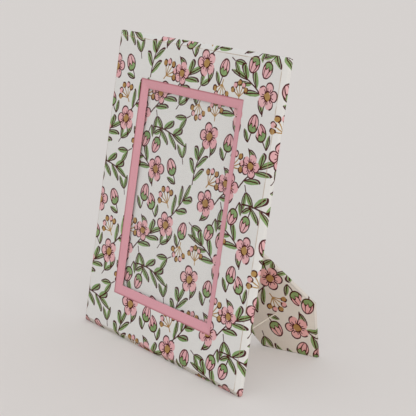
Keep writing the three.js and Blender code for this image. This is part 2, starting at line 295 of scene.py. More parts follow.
# %% Tie the knot on the leg's far side
KNOT_SPREAD = 0.42
KNOT_RISE = 0.55
KNOT_HEIGHT = 1.25
KNOT_STEPS = 60
KNOT_START, KNOT_TURN = 0.35, 2 * math.pi - 0.6
KNOT_FOOT = -0.6
TAIL_LENGTH = 3.2


def dressed(piece, body, node):
    """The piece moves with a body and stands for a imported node."""
    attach(piece, body)
    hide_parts(node)


def knot_point(turn):
    x = math.sin(turn) + 2 * math.sin(2 * turn)
    y = math.cos(turn) - 2 * math.cos(2 * turn)
    z = -math.sin(3 * turn)
    return on_leg(x * KNOT_SPREAD, STAY_ON_LEG + y * KNOT_SPREAD, KNOT_HEIGHT + z * KNOT_RISE)


knot_line = [on_leg(0.0, STAY_ON_LEG, KNOT_FOOT)]
knot_line += [knot_point(KNOT_START + KNOT_TURN * step / KNOT_STEPS) for step in range(KNOT_STEPS + 1)]
knot_line.append(knot_line[-1] + (hinge_line + down_leg) * math.sqrt(0.5) * TAIL_LENGTH * MM)
knot_curve = bpy.data.curves.new("stay_knot_tied", "CURVE")
knot_curve.dimensions = "3D"
knot_curve.bevel_depth = CORD_DIAMETER / 2 * MM
knot_curve.use_fill_caps = True
knot_spline = knot_curve.splines.new("POLY")
knot_spline.points.add(len(knot_line) - 1)
for spline_point, place in zip(knot_spline.points, knot_line):
    spline_point.co = (*place, 1.0)
knot_mesh = plain_mesh(shown("knot_model", knot_curve))
knot_mesh.materials.clear()
knot_mesh.materials.append(finishes["cord_yarn"])
stay_knot = shown("stay_knot_tied", knot_mesh)
dressed(stay_knot, "leg", "stay_knot")
print("knot faces", len(knot_mesh.polygons))

# %% [markdown]
# ## Cloth that wraps the frame
# The printed cotton lies flat on the front, goes over the front fold, down the edge, round the back
# fold and a little way over the back. Bending a flat grid round all that would leave the corners to
# chance. So its mesh is a row of rounded rectangles instead, and this helper walks round one of them.

# %% One ring of points
SIDES = ((1, 0), (0, 1), (-1, 0), (0, -1))
SIDE_STEPS = 28
CORNER_STEPS = 6


def ring_points(half_x, half_up, corner):
    """A rounded rectangle, counter-clockwise from the lower right: (x, up, side, along, turn) for each."""
    points = []
    for side, (nx, ny) in enumerate(SIDES):
        reach, run = (half_x, half_up - corner) if nx else (half_up, half_x - corner)
        for step in range(SIDE_STEPS + 1):
            along = run * (2 * step / SIDE_STEPS - 1)
            points.append((nx * reach - ny * along, ny * reach + nx * along, side, along, 0.0))
        for step in range(1, CORNER_STEPS):
            turn = math.pi / 2 * step / CORNER_STEPS
            out = reach - corner + corner * math.cos(turn)
            along = run + corner * math.sin(turn)
            points.append((nx * out - ny * along, ny * out + nx * along, side, run, turn))
    return points


print("points in a ring:", len(SIDES) * (SIDE_STEPS + CORNER_STEPS))

# %% [markdown]
# ## Where the cloth lay flat
# Glued cloth isn't stretched on a fold. Each point keeps its place on the flat cloth before wrapping,
# in millimetres, and that place becomes its UV. So the print runs over the folds at one scale and
# breaks only at the mitred corners, as on the real frame. A projection from the front would smear it
# down the edges.

# %% Flat places of a ring
def flat_place(ring, point, side, spread):
    """Where a point of a ring lay on the flat cloth, for a face that belongs to one side of the frame."""
    half_x, half_up, corner = ring[:3]
    x, up, own_side, along, turn = point
    if spread is None:
        return x, up
    nx, ny = SIDES[side]
    run = (half_up if nx else half_x) - corner
    if own_side == side:
        along += corner * turn
    else:
        along = -run - corner * (math.pi / 2 - turn)
    return nx * spread[0] - ny * along, ny * spread[1] + nx * along


def flat_spreads(rings, fold):
    """How far out each ring lies on the flat cloth: None up to the fold, then the way gone beyond it."""
    spreads = []
    gone = 0.0
    for index, ring in enumerate(rings):
        if index <= fold:
            spreads.append(None)
            continue
        last = rings[index - 1]
        gone += math.hypot(ring[0] - last[0], ring[3] - last[3])
        spreads.append((rings[fold][0] + gone, rings[fold][1] + gone))
    return spreads


print("flat places ready")

# %% [markdown]
# ## From rings to cloth
# A sheet between rings is a grid of four-sided faces. The Solidify modifier gives it a wall behind its
# outer face, so the outer face stays exactly where the rings are.

# %% Sheets with a wall
SECOND_HALF_OF_CORNER = math.pi / 4 - 0.001


def cloth_piece(name, points, faces, flat, finish, wall):
    """A mesh with its flat places as UV in millimetres, and a wall behind its outer face."""
    mesh = bpy.data.meshes.new(name)
    mesh.from_pydata([tuple(point) for point in points], [], faces)
    layer = mesh.uv_layers.new(name="flat_cloth")
    for loop, place in zip(layer.data, flat):
        loop.uv = place
    for face in mesh.polygons:
        face.use_smooth = True
    mesh.materials.append(finishes[finish])
    piece = shown(name, mesh)
    if wall:
        solidify = piece.modifiers.new("cloth thickness", "SOLIDIFY")
        solidify.thickness = wall * MM
        solidify.offset = -1.0
    return piece


def cloth_ring(name, rings, fold, place, finish, wall):
    """A sheet over rings of (half width, half height, corner radius, depth)."""
    loops = [ring_points(*ring[:3]) for ring in rings]
    count = len(loops[0])
    spreads = flat_spreads(rings, fold)
    points = [place(x, up, ring[3]) for ring, loop in zip(rings, loops) for x, up, *_ in loop]
    faces = []
    flat = []
    for row in range(len(rings) - 1):
        for column in range(count):
            following = (column + 1) % count
            side, turn = loops[row][column][2], loops[row][column][4]
            if turn >= SECOND_HALF_OF_CORNER:
                side = (side + 1) % len(SIDES)
            corners = ((row, column), (row + 1, column), (row + 1, following), (row, following))
            faces.append([r * count + c for r, c in corners])
            flat += [flat_place(rings[r], loops[r][c], side, spreads[r]) for r, c in corners]
    return cloth_piece(name, points, faces, flat, finish, wall)


print("cloth helpers ready")

# %% [markdown]
# ## The frame's outer edge
# In section the cloth goes over a bevel, down the edge and round a second bevel to the back. Sharp
# corners would look like cut card. A Bevel modifier on the finished sheet would disturb its flat
# places, so the section is rounded first: every corner of the line gives way to a short arc.

# %% Section over the outer edge
FOLD_INSET = 3.5
EDGE_LINE = ((9.0, 0.0), (FOLD_INSET, 0.0), (0.0, 2.5), (0.0, 4.7), (1.5, BACK_DEPTH), (9.0, BACK_DEPTH))
EDGE_RADII = (0.7, 0.7, 0.7, 0.9)
ARC_PIECES = 5


def filleted(corners, radii):
    """A polyline of (inset, depth) whose inner corners are replaced by arcs."""
    rounded = [corners[0]]
    for before, corner, after, radius in zip(corners, corners[1:], corners[2:], radii):
        corner = Vector(corner)
        back = (Vector(before) - corner).normalized()
        ahead = (Vector(after) - corner).normalized()
        for step in range(ARC_PIECES + 1):
            share = step / ARC_PIECES
            rounded.append(tuple(corner + back * radius * (1 - share) ** 2 + ahead * radius * share ** 2))
    rounded.append(corners[-1])
    return rounded


edge_section = filleted(EDGE_LINE, EDGE_RADII)
print("points over the outer edge:", len(edge_section))

# %% [markdown]
# ## Rings from the window to the back
# The sheet starts at the window, where the cloth is folded down over the pink band's outer edge. Flat
# rings lead from there to the outer edge, its section gives the next ones, and a few more go over the
# back to the rebate, where the cloth is turned in. Rings are close only where the cloth bends.

# %% Rings from the window round to the back
HALF_WIDTH, HALF_HEIGHT = 86.0, 106.5
BINDING_OUTER = (52.9, 76.4)
REBATE_HALF = (64.0, 89.5)
REBATE_LIP = 0.6
CORNER_RADIUS = 1.6
LEAST_CORNER = 0.25
FLAT_RINGS, BACK_RINGS = 9, 3
TUCK_SECTION = ((0.02, 0.43), (0.0, 0.26), (0.1, 0.08))
TUCK_ROLL = 0.34


def between(first, last, share):
    return tuple(a + (b - a) * share for a, b in zip(first, last))


def widened(half, out, depth):
    """A sharp-cornered ring round a rectangle, further out and at a depth."""
    return half[0] + out, half[1] + out, LEAST_CORNER, depth


def wrapped_rings():
    start = (HALF_WIDTH - EDGE_LINE[0][0], HALF_HEIGHT - EDGE_LINE[0][0])
    inner = (BINDING_OUTER[0] + TUCK_ROLL, BINDING_OUTER[1] + TUCK_ROLL)
    rings = [widened(BINDING_OUTER, out, depth) for out, depth in TUCK_SECTION]
    rings += [widened(between(inner, start, step / FLAT_RINGS), 0.0, 0.0) for step in range(FLAT_RINGS)]
    for inset, depth in edge_section:
        corner = max(LEAST_CORNER, CORNER_RADIUS - inset)
        rings.append((HALF_WIDTH - inset, HALF_HEIGHT - inset, corner, depth))
    for step in range(1, BACK_RINGS + 1):
        rings.append(widened(between(start, REBATE_HALF, step / BACK_RINGS), 0.0, BACK_DEPTH))
    rings.append(widened(REBATE_HALF, 0.0, BACK_DEPTH - REBATE_LIP))
    return rings


front_rings = wrapped_rings()
print("rings of the front cloth:", len(front_rings))

# %% [markdown]
# ## The printed cotton's skin
# Glued cloth isn't dead flat: it rises and dips by a few hundredths of a millimetre, enough to soften
# the light on it. On the back its corners are mitred, with a groove where two folds meet. Both could be
# bump, but here the points themselves are moved.

# %% Wrap the printed cotton round the frame
CLOTH_WALL = 0.35
RIPPLE, RIPPLE_WIDTH = 0.07, 19.0
RIPPLE_ROUND_EDGES = 4
MITRE_GROOVE, MITRE_REACH = 0.16, 0.03
ON_THE_BACK = BACK_DEPTH - 0.01
FRONT_CUT = (0.2235, 0.2545)
WINDOW_CUT = (0.105, 0.152)
MITRE_CUT = (0.029, 0.024)
FRONT_FOLD = len(TUCK_SECTION) + FLAT_RINGS + 1


def on_rippled_frame(x, up, depth):
    """A place on the frame, with the ripple of glued cloth and the mitres' grooves on the back."""
    ripple = noise.noise(Vector((x, up, depth * RIPPLE_ROUND_EDGES)) / RIPPLE_WIDTH) * RIPPLE
    off_mitre = abs((HALF_WIDTH - abs(x)) - (HALF_HEIGHT - abs(up)))
    if depth >= ON_THE_BACK and off_mitre < MITRE_REACH:
        depth -= MITRE_GROOVE
    return on_frame(x, up, depth + ripple)


def seated(piece):
    """Nothing reaches below the table."""
    for point in piece.data.vertices:
        point.co.z = max(point.co.z, 0.0)


front_cloth = cloth_ring("front_cloth", front_rings, FRONT_FOLD, on_rippled_frame, "printed_cotton",
                         CLOTH_WALL)
seated(front_cloth)
dressed(front_cloth, "frame", "front_cover")
front_area = FRONT_CUT[0] * FRONT_CUT[1] - WINDOW_CUT[0] * WINDOW_CUT[1]
front_area -= len(SIDES) * MITRE_CUT[0] * MITRE_CUT[1]
print("front cloth", len(front_cloth.data.polygons), "faces")

# %% [markdown]
# ## The pink band
# A strip of plain pink cotton finishes the window. Its outer edge is tucked in under the print's folded
# edge, which leaves a thin groove, and it slopes down to the glazing. Four mitred strips would do, but
# the ring maker is there already, so it sweeps the band's section round the window in one piece.

# %% Sweep the pink band round the window
WINDOW_HALF = (46.0, 69.5)
BAND_SECTION = ((2.4, 2.58), (0.9, 2.56), (0.52, 2.5), (0.4, 2.36), (0.46, 2.2), (0.7, 1.98), (2.0, 1.5),
                (3.7, 1.03), (5.2, 0.62), (6.0, 0.47), (6.6, 0.45), (8.0, 0.45))
BAND_WALL = 0.2
band_rings = [widened(WINDOW_HALF, out, depth) for out, depth in BAND_SECTION]
pink_band = cloth_ring("pink_band", band_rings, len(band_rings), on_rippled_frame, "pink_cotton", BAND_WALL)
dressed(pink_band, "frame", "window_binding")
print("pink band", len(pink_band.data.polygons), "faces")

# %% [markdown]
# ## Boards inside a cloth skin
# The card, the back panel, the leg, its root and even the brass turn buttons are flat plates with soft
# edges. A Bevel modifier would round them too, but it knows nothing of flat cloth. So the section over
# an edge is worked out here, with the way gone along the cloth.

# %% Outline and edge of a plate
EDGE_STEPS = 4


def inset_outline(outline, distance):
    """A convex outline, counter-clockwise, with every side moved inwards, and the sides' outward ways."""
    lines = []
    for first, second in zip(outline, outline[1:] + outline[:1]):
        ahead = (Vector(second) - Vector(first)).normalized()
        inward = Vector((-ahead.y, ahead.x))
        lines.append((Vector(first) + inward * distance, ahead, -inward))
    moved = []
    for (point, ahead, _), (other, turn, _) in zip(lines[-1:] + lines[:-1], lines):
        gap = other - point
        reach = (gap.x * turn.y - gap.y * turn.x) / (ahead.x * turn.y - ahead.y * turn.x)
        moved.append(point + ahead * reach)
    return moved, [outward for _, _, outward in lines]


def skin_section(thickness, radius):
    """(inset, height, way gone) from the outer face's rim over the edge to the inner face's rim."""
    quarter = [math.pi / 2 * step / EDGE_STEPS for step in range(EDGE_STEPS + 1)]
    bends = [(math.sin(turn), math.cos(turn), -radius) for turn in quarter]
    bends += [(math.cos(turn), -math.sin(turn), radius - thickness) for turn in quarter]
    section = []
    for out, up, middle in bends:
        inset, height, gone = radius * (1 - out), middle + radius * up, 0.0
        if section:
            gone = section[-1][2] + math.hypot(inset - section[-1][0], height - section[-1][1])
        section.append((inset, height, gone))
    return section


print("points over an edge:", 2 * (EDGE_STEPS + 1))

# %% [markdown]
# ## The skin itself
# The skin goes over the outer face, down each edge by that section, and closes on the inner face. The
# cloth is laid out flat from one face over the edges, and the other face is laid out by itself, as a
# lining is.

# %% A skin round a flat plate
def board_skin(name, outline, thickness, radius, place, finish, wall=0.0, from_inner=False):
    """The cloth is laid out flat from the outer face over the edges, or from the inner face."""
    section = skin_section(thickness, radius)
    rim, outward = inset_outline(outline, radius)
    count = len(outline)
    points = []
    for inset, height, _ in section:
        points += [place(x, y, height) for x, y in inset_outline(outline, inset)[0]]
    faces = [list(range(count))]
    flat = [tuple(corner) for corner in rim]
    for row in range(len(section) - 1):
        for side in range(count):
            following = (side + 1) % count
            corners = ((row, side), (row + 1, side), (row + 1, following), (row, following))
            faces.append([r * count + c for r, c in corners])
            for r, c in corners:
                gone = section[-1][2] - section[r][2] if from_inner else section[r][2]
                spot = rim[c] + outward[side] * gone
                flat.append((-spot.x if from_inner else spot.x, spot.y))
    base = (len(section) - 1) * count
    faces.append([base + c for c in reversed(range(count))])
    flat += [(-rim[c].x, rim[c].y) for c in reversed(range(count))]
    return cloth_piece(name, points, faces, flat, finish, wall)


print("plate skin ready")

# %% [markdown]
# ## The card in the window
# Behind the glazing lies a printed card, the size of the panel. It is a thin plate with nearly sharp
# edges, and only its face shows, so the plate skin with a small radius is enough.

# %% Cut the card
PANEL_HALF = (63.5, 89.0)
CARD_DEPTH, CARD_THICKNESS, CARD_EDGE = 3.7, 0.4, 0.1


def rectangle(half_x, low_y, high_y):
    return [(-half_x, low_y), (half_x, low_y), (half_x, high_y), (-half_x, high_y)]


def on_card(x, y, z):
    """The card's face turns to the front, so its height runs forwards."""
    return on_frame(x, y, CARD_DEPTH - z)


panel = rectangle(PANEL_HALF[0], -PANEL_HALF[1], PANEL_HALF[1])
picture_card = board_skin("picture_card", panel, CARD_THICKNESS, CARD_EDGE, on_card, "printed_card")
dressed(picture_card, "frame", "insert_card")
print("card", len(picture_card.data.polygons), "faces")

# %% [markdown]
# ## The back panel's cotton
# The lift-out panel has cotton glued to its outer side. It is the same plate skin, laid on the board,
# and cut from another part of the cloth than the front, so its print doesn't line up with the border's.

# %% Cover the back panel
BACK_CLOTH, BACK_CLOTH_EDGE = 0.42, 0.2


def on_back(x, y, z):
    """Seen from behind, right and left change places."""
    return on_frame(-x, y, BACK_DEPTH + z)


back_cloth = board_skin("back_cloth", panel, BACK_CLOTH, BACK_CLOTH_EDGE, on_back, "back_cotton")
dressed(back_cloth, "frame", "back_cover")
print("back cloth", len(back_cloth.data.polygons), "faces")

# %% [markdown]
# ## The leg
# The leg is a board in a cotton sleeve with a pointed foot that lies flat on the table. The sleeve's
# edges have a copy of its finish that is a little darker, as painted shade, and its inner side, which
# the light reaches less, has a copy that is lighter and warmer, as painted light.

# %% The leg's sleeve
LEG_TOP_HALF = 20.0
LEG_SHOULDER_HALF = 41.8 * math.sqrt(0.5)
HINGE_GAP = 0.15
LEG_EDGE = 1.1
SLEEVE_WALL = 0.3
# The edges wear a darker copy of the cotton, as painted shade, and the inner face a lighter, warmer copy, as
# painted light.
EDGE_SHADE_FINISH, INNER_LIGHT_FINISH = 1, 2
shoulder = leg_length - LEG_SHOULDER_HALF
leg_outline = [(-LEG_TOP_HALF, HINGE_GAP), (LEG_TOP_HALF, HINGE_GAP), (LEG_SHOULDER_HALF, shoulder),
               (0.0, leg_length), (-LEG_SHOULDER_HALF, shoulder)]
leg_cloth = board_skin("leg_cloth", leg_outline, LEG_THICKNESS, LEG_EDGE, on_leg, "leg_cotton", SLEEVE_WALL,
                       from_inner=True)
seated(leg_cloth)
leg_cloth.data.materials.append(finishes["leg_edge_painted_shade"])
leg_cloth.data.materials.append(finishes["leg_inner_painted_light"])
for face in leg_cloth.data.polygons[1:]:
    face.material_index = EDGE_SHADE_FINISH
leg_cloth.data.polygons[-1].material_index = INNER_LIGHT_FINISH
dressed(leg_cloth, "leg", "leg_cover")
print("leg cloth", len(leg_cloth.data.polygons), "faces")

# %% [markdown]
# ## The leg's root
# The leg's fixed top end is glued to the back panel. It wears the same cotton as the leg, with the same
# flat places, so the print runs on from one to the other. As it doesn't move, it rides on the frame.

# %% The root's cloth
ROOT_LENGTH = 30.0
ROOT_THICKNESS, ROOT_EDGE = LEG_THICKNESS + 0.2, 0.6
root_outline = rectangle(LEG_TOP_HALF, -ROOT_LENGTH, -HINGE_GAP)
root_cloth = board_skin("root_cloth", root_outline, ROOT_THICKNESS, ROOT_EDGE, on_root, "leg_cotton",
                        SLEEVE_WALL)
dressed(root_cloth, "frame", "hinge_cloth")
print("root cloth", len(root_cloth.data.polygons), "faces")

# %% [markdown]
# ## The crease
# The cloth itself is the leg's hinge: it is creased where the board is cut through. Two rigid skins
# would gape there, so a strip over the crease lies just off the root above it and just off the leg below
# it. Its rows lie closest at the crease, where the bend is.

# %% The strip over the crease
CREASE_ROWS = (-9.0, -5.0, -2.5, -1.2, -0.6, -0.3, 0.0, 0.3, 0.6, 1.2, 2.5, 5.0, 9.0)
CREASE_COLUMNS = 8
CREASE_HALF = LEG_TOP_HALF - LEG_EDGE
CREASE_LIFT = 0.1
BEND_REACH = 0.6


def on_crease(x, y):
    """Just off the root above the crease and just off the leg below it."""
    if y == 0.0:
        return hinge + (hinge_line * x + (backward + off_leg).normalized() * CREASE_LIFT) * MM
    return on_root(x, y, CREASE_LIFT) if y < 0 else on_leg(x, y, CREASE_LIFT)


crease_flat = [(CREASE_HALF * (2 * column / CREASE_COLUMNS - 1), y)
               for y in CREASE_ROWS for column in range(CREASE_COLUMNS + 1)]
crease_faces = []
for row in range(len(CREASE_ROWS) - 1):
    for column in range(CREASE_COLUMNS):
        first = row * (CREASE_COLUMNS + 1) + column
        crease_faces.append([first, first + 1, first + CREASE_COLUMNS + 2, first + CREASE_COLUMNS + 1])
crease_points = [on_crease(x, y) for x, y in crease_flat]
crease_uv = [crease_flat[corner] for face in crease_faces for corner in face]
crease_cloth = cloth_piece("crease_cloth", crease_points, crease_faces, crease_uv, "leg_cotton", 0.0)
bend_start, bend_end = on_root(0.0, -BEND_REACH, 0.0), on_leg(0.0, BEND_REACH, 0.0)
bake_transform(crease_cloth)
print("crease cloth", len(crease_cloth.data.polygons), "faces")

# %% [markdown]
# ## Turn buttons
# Four brass turn buttons keep the back panel in. Each is a stamped plate with a broad heel and a narrow
# tip. An outline of two arcs and the plate skin make it, and it rides on a body of its own, so it can
# swivel.

# %% Turn button plates
BUTTON_TIP_OUT = 9.8
BUTTON_HEEL_RADIUS, BUTTON_TIP_RADIUS = 4.5, 3.2
BUTTON_TOP_DEPTH, BUTTON_THICKNESS, BUTTON_EDGE = 7.3, 0.8, 0.28
BUTTON_ARCS = ((0.0, BUTTON_HEEL_RADIUS, math.pi / 2), (BUTTON_TIP_OUT, BUTTON_TIP_RADIUS, -math.pi / 2))
ARC_STEPS = 14


def button_outline():
    outline = []
    for middle, radius, start in BUTTON_ARCS:
        for step in range(ARC_STEPS + 1):
            turn = start + math.pi * step / ARC_STEPS
            outline.append((middle + radius * math.cos(turn), radius * math.sin(turn)))
    return outline


def on_button(name):
    """The places of one plate: towards the panel's middle, aside and out from the plate's back."""
    pin_place = Vector(joints[name + "_swivel"]["pos_m"])
    inward = math.copysign(1.0, -pin_place.x)
    return lambda x, y, z: pin_place + (
        across * x * inward - upward * y * inward + backward * (BUTTON_TOP_DEPTH + z)) * MM


buttons = [name for name in frame["nodes"] if name + "_swivel" in joints]
for name in buttons:
    plate = board_skin(name + "_plate", button_outline(), BUTTON_THICKNESS, BUTTON_EDGE, on_button(name),
                       "brass_plate")
    dressed(plate, name, name)
print("turn button plates:", len(buttons))

# %% [markdown]
# ## Rivets
# Each turn button swivels on a domed rivet. They are one shape in four places, which is work for
# Geometry Nodes: the tree flattens a sphere's lower half into a seat, stretches the upper half to the
# head's height, adds a shank below it and puts a copy on each seed point.

# %% Node tree for domed rivets
RIVET_SEGMENTS, RIVET_RINGS = 28, 16
RIVET_PLACES = "Places"


def rivet_tree():
    tree, sizes, result = geometry_tree("domed_rivets", {
        RIVET_PLACES: "Geometry", "Head Radius": "Float", "Head Height": "Float", "Shank Radius": "Float",
        "Shank Length": "Float", "Finish": "Material"})
    ball = added(tree, "GeometryNodeMeshUVSphere", {"Segments": RIVET_SEGMENTS, "Rings": RIVET_RINGS})
    place = added(tree, "GeometryNodeInputPosition")
    apart = added(tree, "ShaderNodeSeparateXYZ")
    upper = added(tree, "ShaderNodeMath", {1: 0.0}, operation="MAXIMUM")
    stretch = added(tree, "ShaderNodeMath", operation="DIVIDE")
    raised = added(tree, "ShaderNodeMath", operation="MULTIPLY")
    domed = added(tree, "ShaderNodeCombineXYZ")
    dome = added(tree, "GeometryNodeSetPosition")
    smooth = added(tree, "GeometryNodeSetShadeSmooth")
    shank = added(tree, "GeometryNodeMeshCylinder")
    sunk = added(tree, "ShaderNodeMath", {1: -0.5}, operation="MULTIPLY")
    down = added(tree, "ShaderNodeCombineXYZ")
    lowered = added(tree, "GeometryNodeTransform")
    whole = added(tree, "GeometryNodeJoinGeometry")
    copies = added(tree, "GeometryNodeInstanceOnPoints")
    linked(
        tree,
        (sizes["Head Radius"], ball.inputs["Radius"]), (place.outputs[0], apart.inputs[0]),
        (apart.outputs["Z"], upper.inputs[0]), (sizes["Head Height"], stretch.inputs[0]),
        (sizes["Head Radius"], stretch.inputs[1]), (upper.outputs[0], raised.inputs[0]),
        (stretch.outputs[0], raised.inputs[1]), (apart.outputs["X"], domed.inputs["X"]),
        (apart.outputs["Y"], domed.inputs["Y"]), (raised.outputs[0], domed.inputs["Z"]),
        (ball.outputs["Mesh"], dome.inputs["Geometry"]), (domed.outputs[0], dome.inputs["Position"]),
        (dome.outputs[0], smooth.inputs["Geometry"]), (sizes["Shank Radius"], shank.inputs["Radius"]),
        (sizes["Shank Length"], shank.inputs["Depth"]), (sizes["Shank Length"], sunk.inputs[0]),
        (sunk.outputs[0], down.inputs["Z"]), (shank.outputs["Mesh"], lowered.inputs["Geometry"]),
        (down.outputs[0], lowered.inputs["Translation"]), (smooth.outputs[0], whole.inputs[0]),
        (lowered.outputs[0], whole.inputs[0]), (sizes[RIVET_PLACES], copies.inputs["Points"]),
        (whole.outputs[0], copies.inputs["Instance"]))
    realized(tree, copies.outputs[0], sizes["Finish"], result["Geometry"])
    return tree


rivets_tree = rivet_tree()
print("rivet tree has", len(rivets_tree.nodes), "nodes")

# %% [markdown]
# ## Setting the rivets
# A rivet sits where its turn button's joint is. Four objects would do, but none of the rivets moves, so
# the four seed points grow into one mesh that rides on the frame.

# %% Set the rivets
RIVET_DEPTH = 7.5
RIVET_RADIUS, RIVET_HEIGHT = 2.4, 0.9
SHANK_RADIUS, SHANK_LENGTH = 1.15, 3.0
seen_from_behind = Matrix((-across, upward, backward)).transposed().to_4x4()
rivet_sizes = {
    "Head Radius": RIVET_RADIUS * MM, "Head Height": RIVET_HEIGHT * MM, "Shank Radius": SHANK_RADIUS * MM,
    "Shank Length": SHANK_LENGTH * MM, "Finish": finishes["brass_plate"]}
rivet_seeds = []
for name in buttons:
    offset = Vector(joints[name + "_swivel"]["pos_m"]) - front_middle
    rivet_seeds.append((-offset.x, offset.dot(upward), RIVET_DEPTH * MM))
rivets = grown_mesh("rivets", rivets_tree, rivet_sizes, Matrix.Translation(front_middle) @ seen_from_behind,
                    rivet_seeds)
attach(rivets, "frame")
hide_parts(*[name.replace("button_", "button_pin_") for name in buttons])
print("rivets", len(rivets.data.polygons), "faces")

# %% [markdown]
# ## Nodes as sums
# The finishes below are long sums of small maths steps. Adding each node by hand would hide them, so a
# wire is an output that can be added, multiplied and divided like a number: every sum puts one maths
# node into its tree.

# %% Wires that write node trees
class Wire:
    """One output in a node tree. Sums with it add maths nodes and give back the new output."""

    def __init__(self, socket):
        self.socket = socket
        self.tree = socket.id_data

    def __add__(self, other):
        return maths("ADD", self, other)

    def __sub__(self, other):
        return maths("SUBTRACT", self, other)

    def __rsub__(self, other):
        return maths("SUBTRACT", other, self)

    def __mul__(self, other):
        return maths("MULTIPLY", self, other)

    def __truediv__(self, other):
        return maths("DIVIDE", self, other)

    def __abs__(self):
        return maths("ABSOLUTE", self)


print("wires can be added, multiplied and divided")

# %% [markdown]
# ## Feeding nodes
# A node's input takes a link or a plain number, and which of them depends on the sum. One helper plugs
# either kind. Another makes a node in the tree of the wires that feed it, so that no drawing below has
# to say which tree it works in.

# %% Nodes fed by wires
def plug(socket, value):
    """Feeds a socket with a wire or with a plain value."""
    if isinstance(value, Wire):
        value.tree.links.new(value.socket, socket)
    else:
        socket.default_value = value


def wired(kind, feeds, **settings):
    """A node in the tree of the wires that feed it, with its inputs plugged."""
    tree = next(value.tree for value in feeds.values() if isinstance(value, Wire))
    node = added(tree, kind, **settings)
    for socket, value in feeds.items():
        plug(node.inputs[socket], value)
    return node


def maths(operation, *values):
    return Wire(wired("ShaderNodeMath", dict(enumerate(values)), operation=operation).outputs[0])


print("nodes can be fed")

# %% [markdown]
# ## Masks
# A printed shape is a mask, 1 inside and 0 outside. Comparing a distance with an edge makes one, and a
# soft step in place of a hard one keeps the printed line from looking cut with a knife.

# %% Masks from distances
SOFT = 0.1


def most(first, *others):
    for other in others:
        first = maths("MAXIMUM", first, other)
    return first


def over(value, edge):
    return maths("GREATER_THAN", value, edge)


def under(value, edge):
    return maths("LESS_THAN", value, edge)


def below(value, edge, soft=SOFT):
    """1 where a value is under an edge, 0 above it, with a soft step."""
    feeds = {"Value": value, "From Min": edge - soft, "From Max": edge + soft, "To Min": 1.0, "To Max": 0.0}
    return Wire(wired("ShaderNodeMapRange", feeds, interpolation_type="SMOOTHSTEP").outputs[0])


def line(value, half, soft=SOFT):
    """1 where a value is near zero on either side."""
    return below(abs(value), half, soft)


def span(x, y):
    return maths("SQRT", x * x + y * y)


print("masks ready")

# %% [markdown]
# ## Places, clouds and colours
# A colour is written as a screen shows it, and turned into the linear values that nodes use.

# %% Places, clouds and colours
MIX_SHARE, MIX_FIRST, MIX_SECOND, MIX_RESULT = 0, 6, 7, 2
SCREEN_TOP, SCREEN_KNEE = 255, 0.04045
SCREEN_SLOPE, SCREEN_LIFT, SCREEN_POWER = 12.92, 0.055, 2.4


def split(vector):
    return [Wire(socket) for socket in wired("ShaderNodeSeparateXYZ", {0: vector}).outputs]


def joined(x, y):
    return Wire(wired("ShaderNodeCombineXYZ", {"X": x, "Y": y}).outputs[0])


def cloud(place, size, detail=2.0):
    """Three soft random values around one half, in patches of a size."""
    node = wired("ShaderNodeTexNoise", {"Vector": place, "Scale": 1 / size, "Detail": detail})
    return split(Wire(node.outputs["Color"]))


def blended(share, first, second, way="MIX"):
    feeds = {MIX_SHARE: share, MIX_FIRST: first, MIX_SECOND: second}
    return Wire(wired("ShaderNodeMix", feeds, data_type="RGBA", blend_type=way).outputs[MIX_RESULT])


def linear(value):
    """A screen's value from 0 to 255, by the curve that all screens follow."""
    value = value / SCREEN_TOP
    if value <= SCREEN_KNEE:
        return value / SCREEN_SLOPE
    return ((value + SCREEN_LIFT) / (1 + SCREEN_LIFT)) ** SCREEN_POWER


def shade(red, green, blue):
    """A colour as a screen shows it, in linear values."""
    return linear(red), linear(green), linear(blue), 1.0


print("colours ready")

# %% [markdown]
# ## Groups
# What several finishes use is drawn once, as a shader group with named inputs and outputs. A drawing is
# a plain function from wires to named wires, and a group is that drawing in a box.

# %% Groups from drawings
def new_group(name, inputs, drawing):
    """A shader group: a drawing turns wires for the named inputs into wires for named outputs."""
    tree = bpy.data.node_groups.new(name, "ShaderNodeTree")
    for title in inputs:
        tree.interface.new_socket(title, in_out="INPUT", socket_type="NodeSocketFloat")
    given = added(tree, "NodeGroupInput").outputs
    made = drawing(*[Wire(given[title]) for title in inputs])
    for title, wire in made.items():
        kind = "NodeSocketColor" if wire.socket.type == "RGBA" else "NodeSocketFloat"
        tree.interface.new_socket(title, in_out="OUTPUT", socket_type=kind)
    result = added(tree, "NodeGroupOutput")
    for title, wire in made.items():
        plug(result.inputs[title], wire)
    print(name, "group:", len(tree.nodes), "nodes")


def placed(tree, name, values):
    """A group in a tree, with its inputs fed and its outputs by name."""
    node = added(tree, "ShaderNodeGroup", node_tree=bpy.data.node_groups[name])
    for title, value in values.items():
        plug(node.inputs[title], value)
    return {socket.name: Wire(socket) for socket in node.outputs}


print("groups ready")

# %% [markdown]
# ## The printed pattern: leaves
# The cotton has a tossed garden print in four colours: leafy boughs, leaf pairs, five-petal blossoms,
# buds and berries. An image would fix its sharpness, so each motif is a drawing in millimetres that
# turns a place into masks, one for each printing screen: green, pink, ochre and a dark line. The colour
# screens slip a little against the line, as they do on hand-printed cloth. Every leaf is the same lance
# shape, inked on one side.

# %% A leaf
INK = 0.49
SLIP = 0.4
LEAF_INSET = 0.15
LEAF_RIM, LEAF_RIB = INK * 0.95, INK * 0.75
RIB_END = 0.86


def lance_leaf(share, aside, half):
    """Share runs from a leaf's foot to its tip, and aside is the way off its rib."""
    width = share * (1.0 - share) * 4.0 * half
    grows = over(share, 0.0) * under(share, 1.0)
    green = below(abs(aside + SLIP) - width, -LEAF_INSET) * grows
    rim = line(aside - width, LEAF_RIM) * grows
    rib = line(aside, LEAF_RIB) * grows * under(share, RIB_END)
    return green, most(rim, rib)


print("ink line", round(2 * INK, 2), "mm wide")

# %% [markdown]
# ## Boughs and leaf pairs
# A bough has leaves on both sides in turn, so one leaf, repeated along the stem by rounding the place
# down to a rung, draws them all. A leaf pair is one leaf mirrored over its stalk.

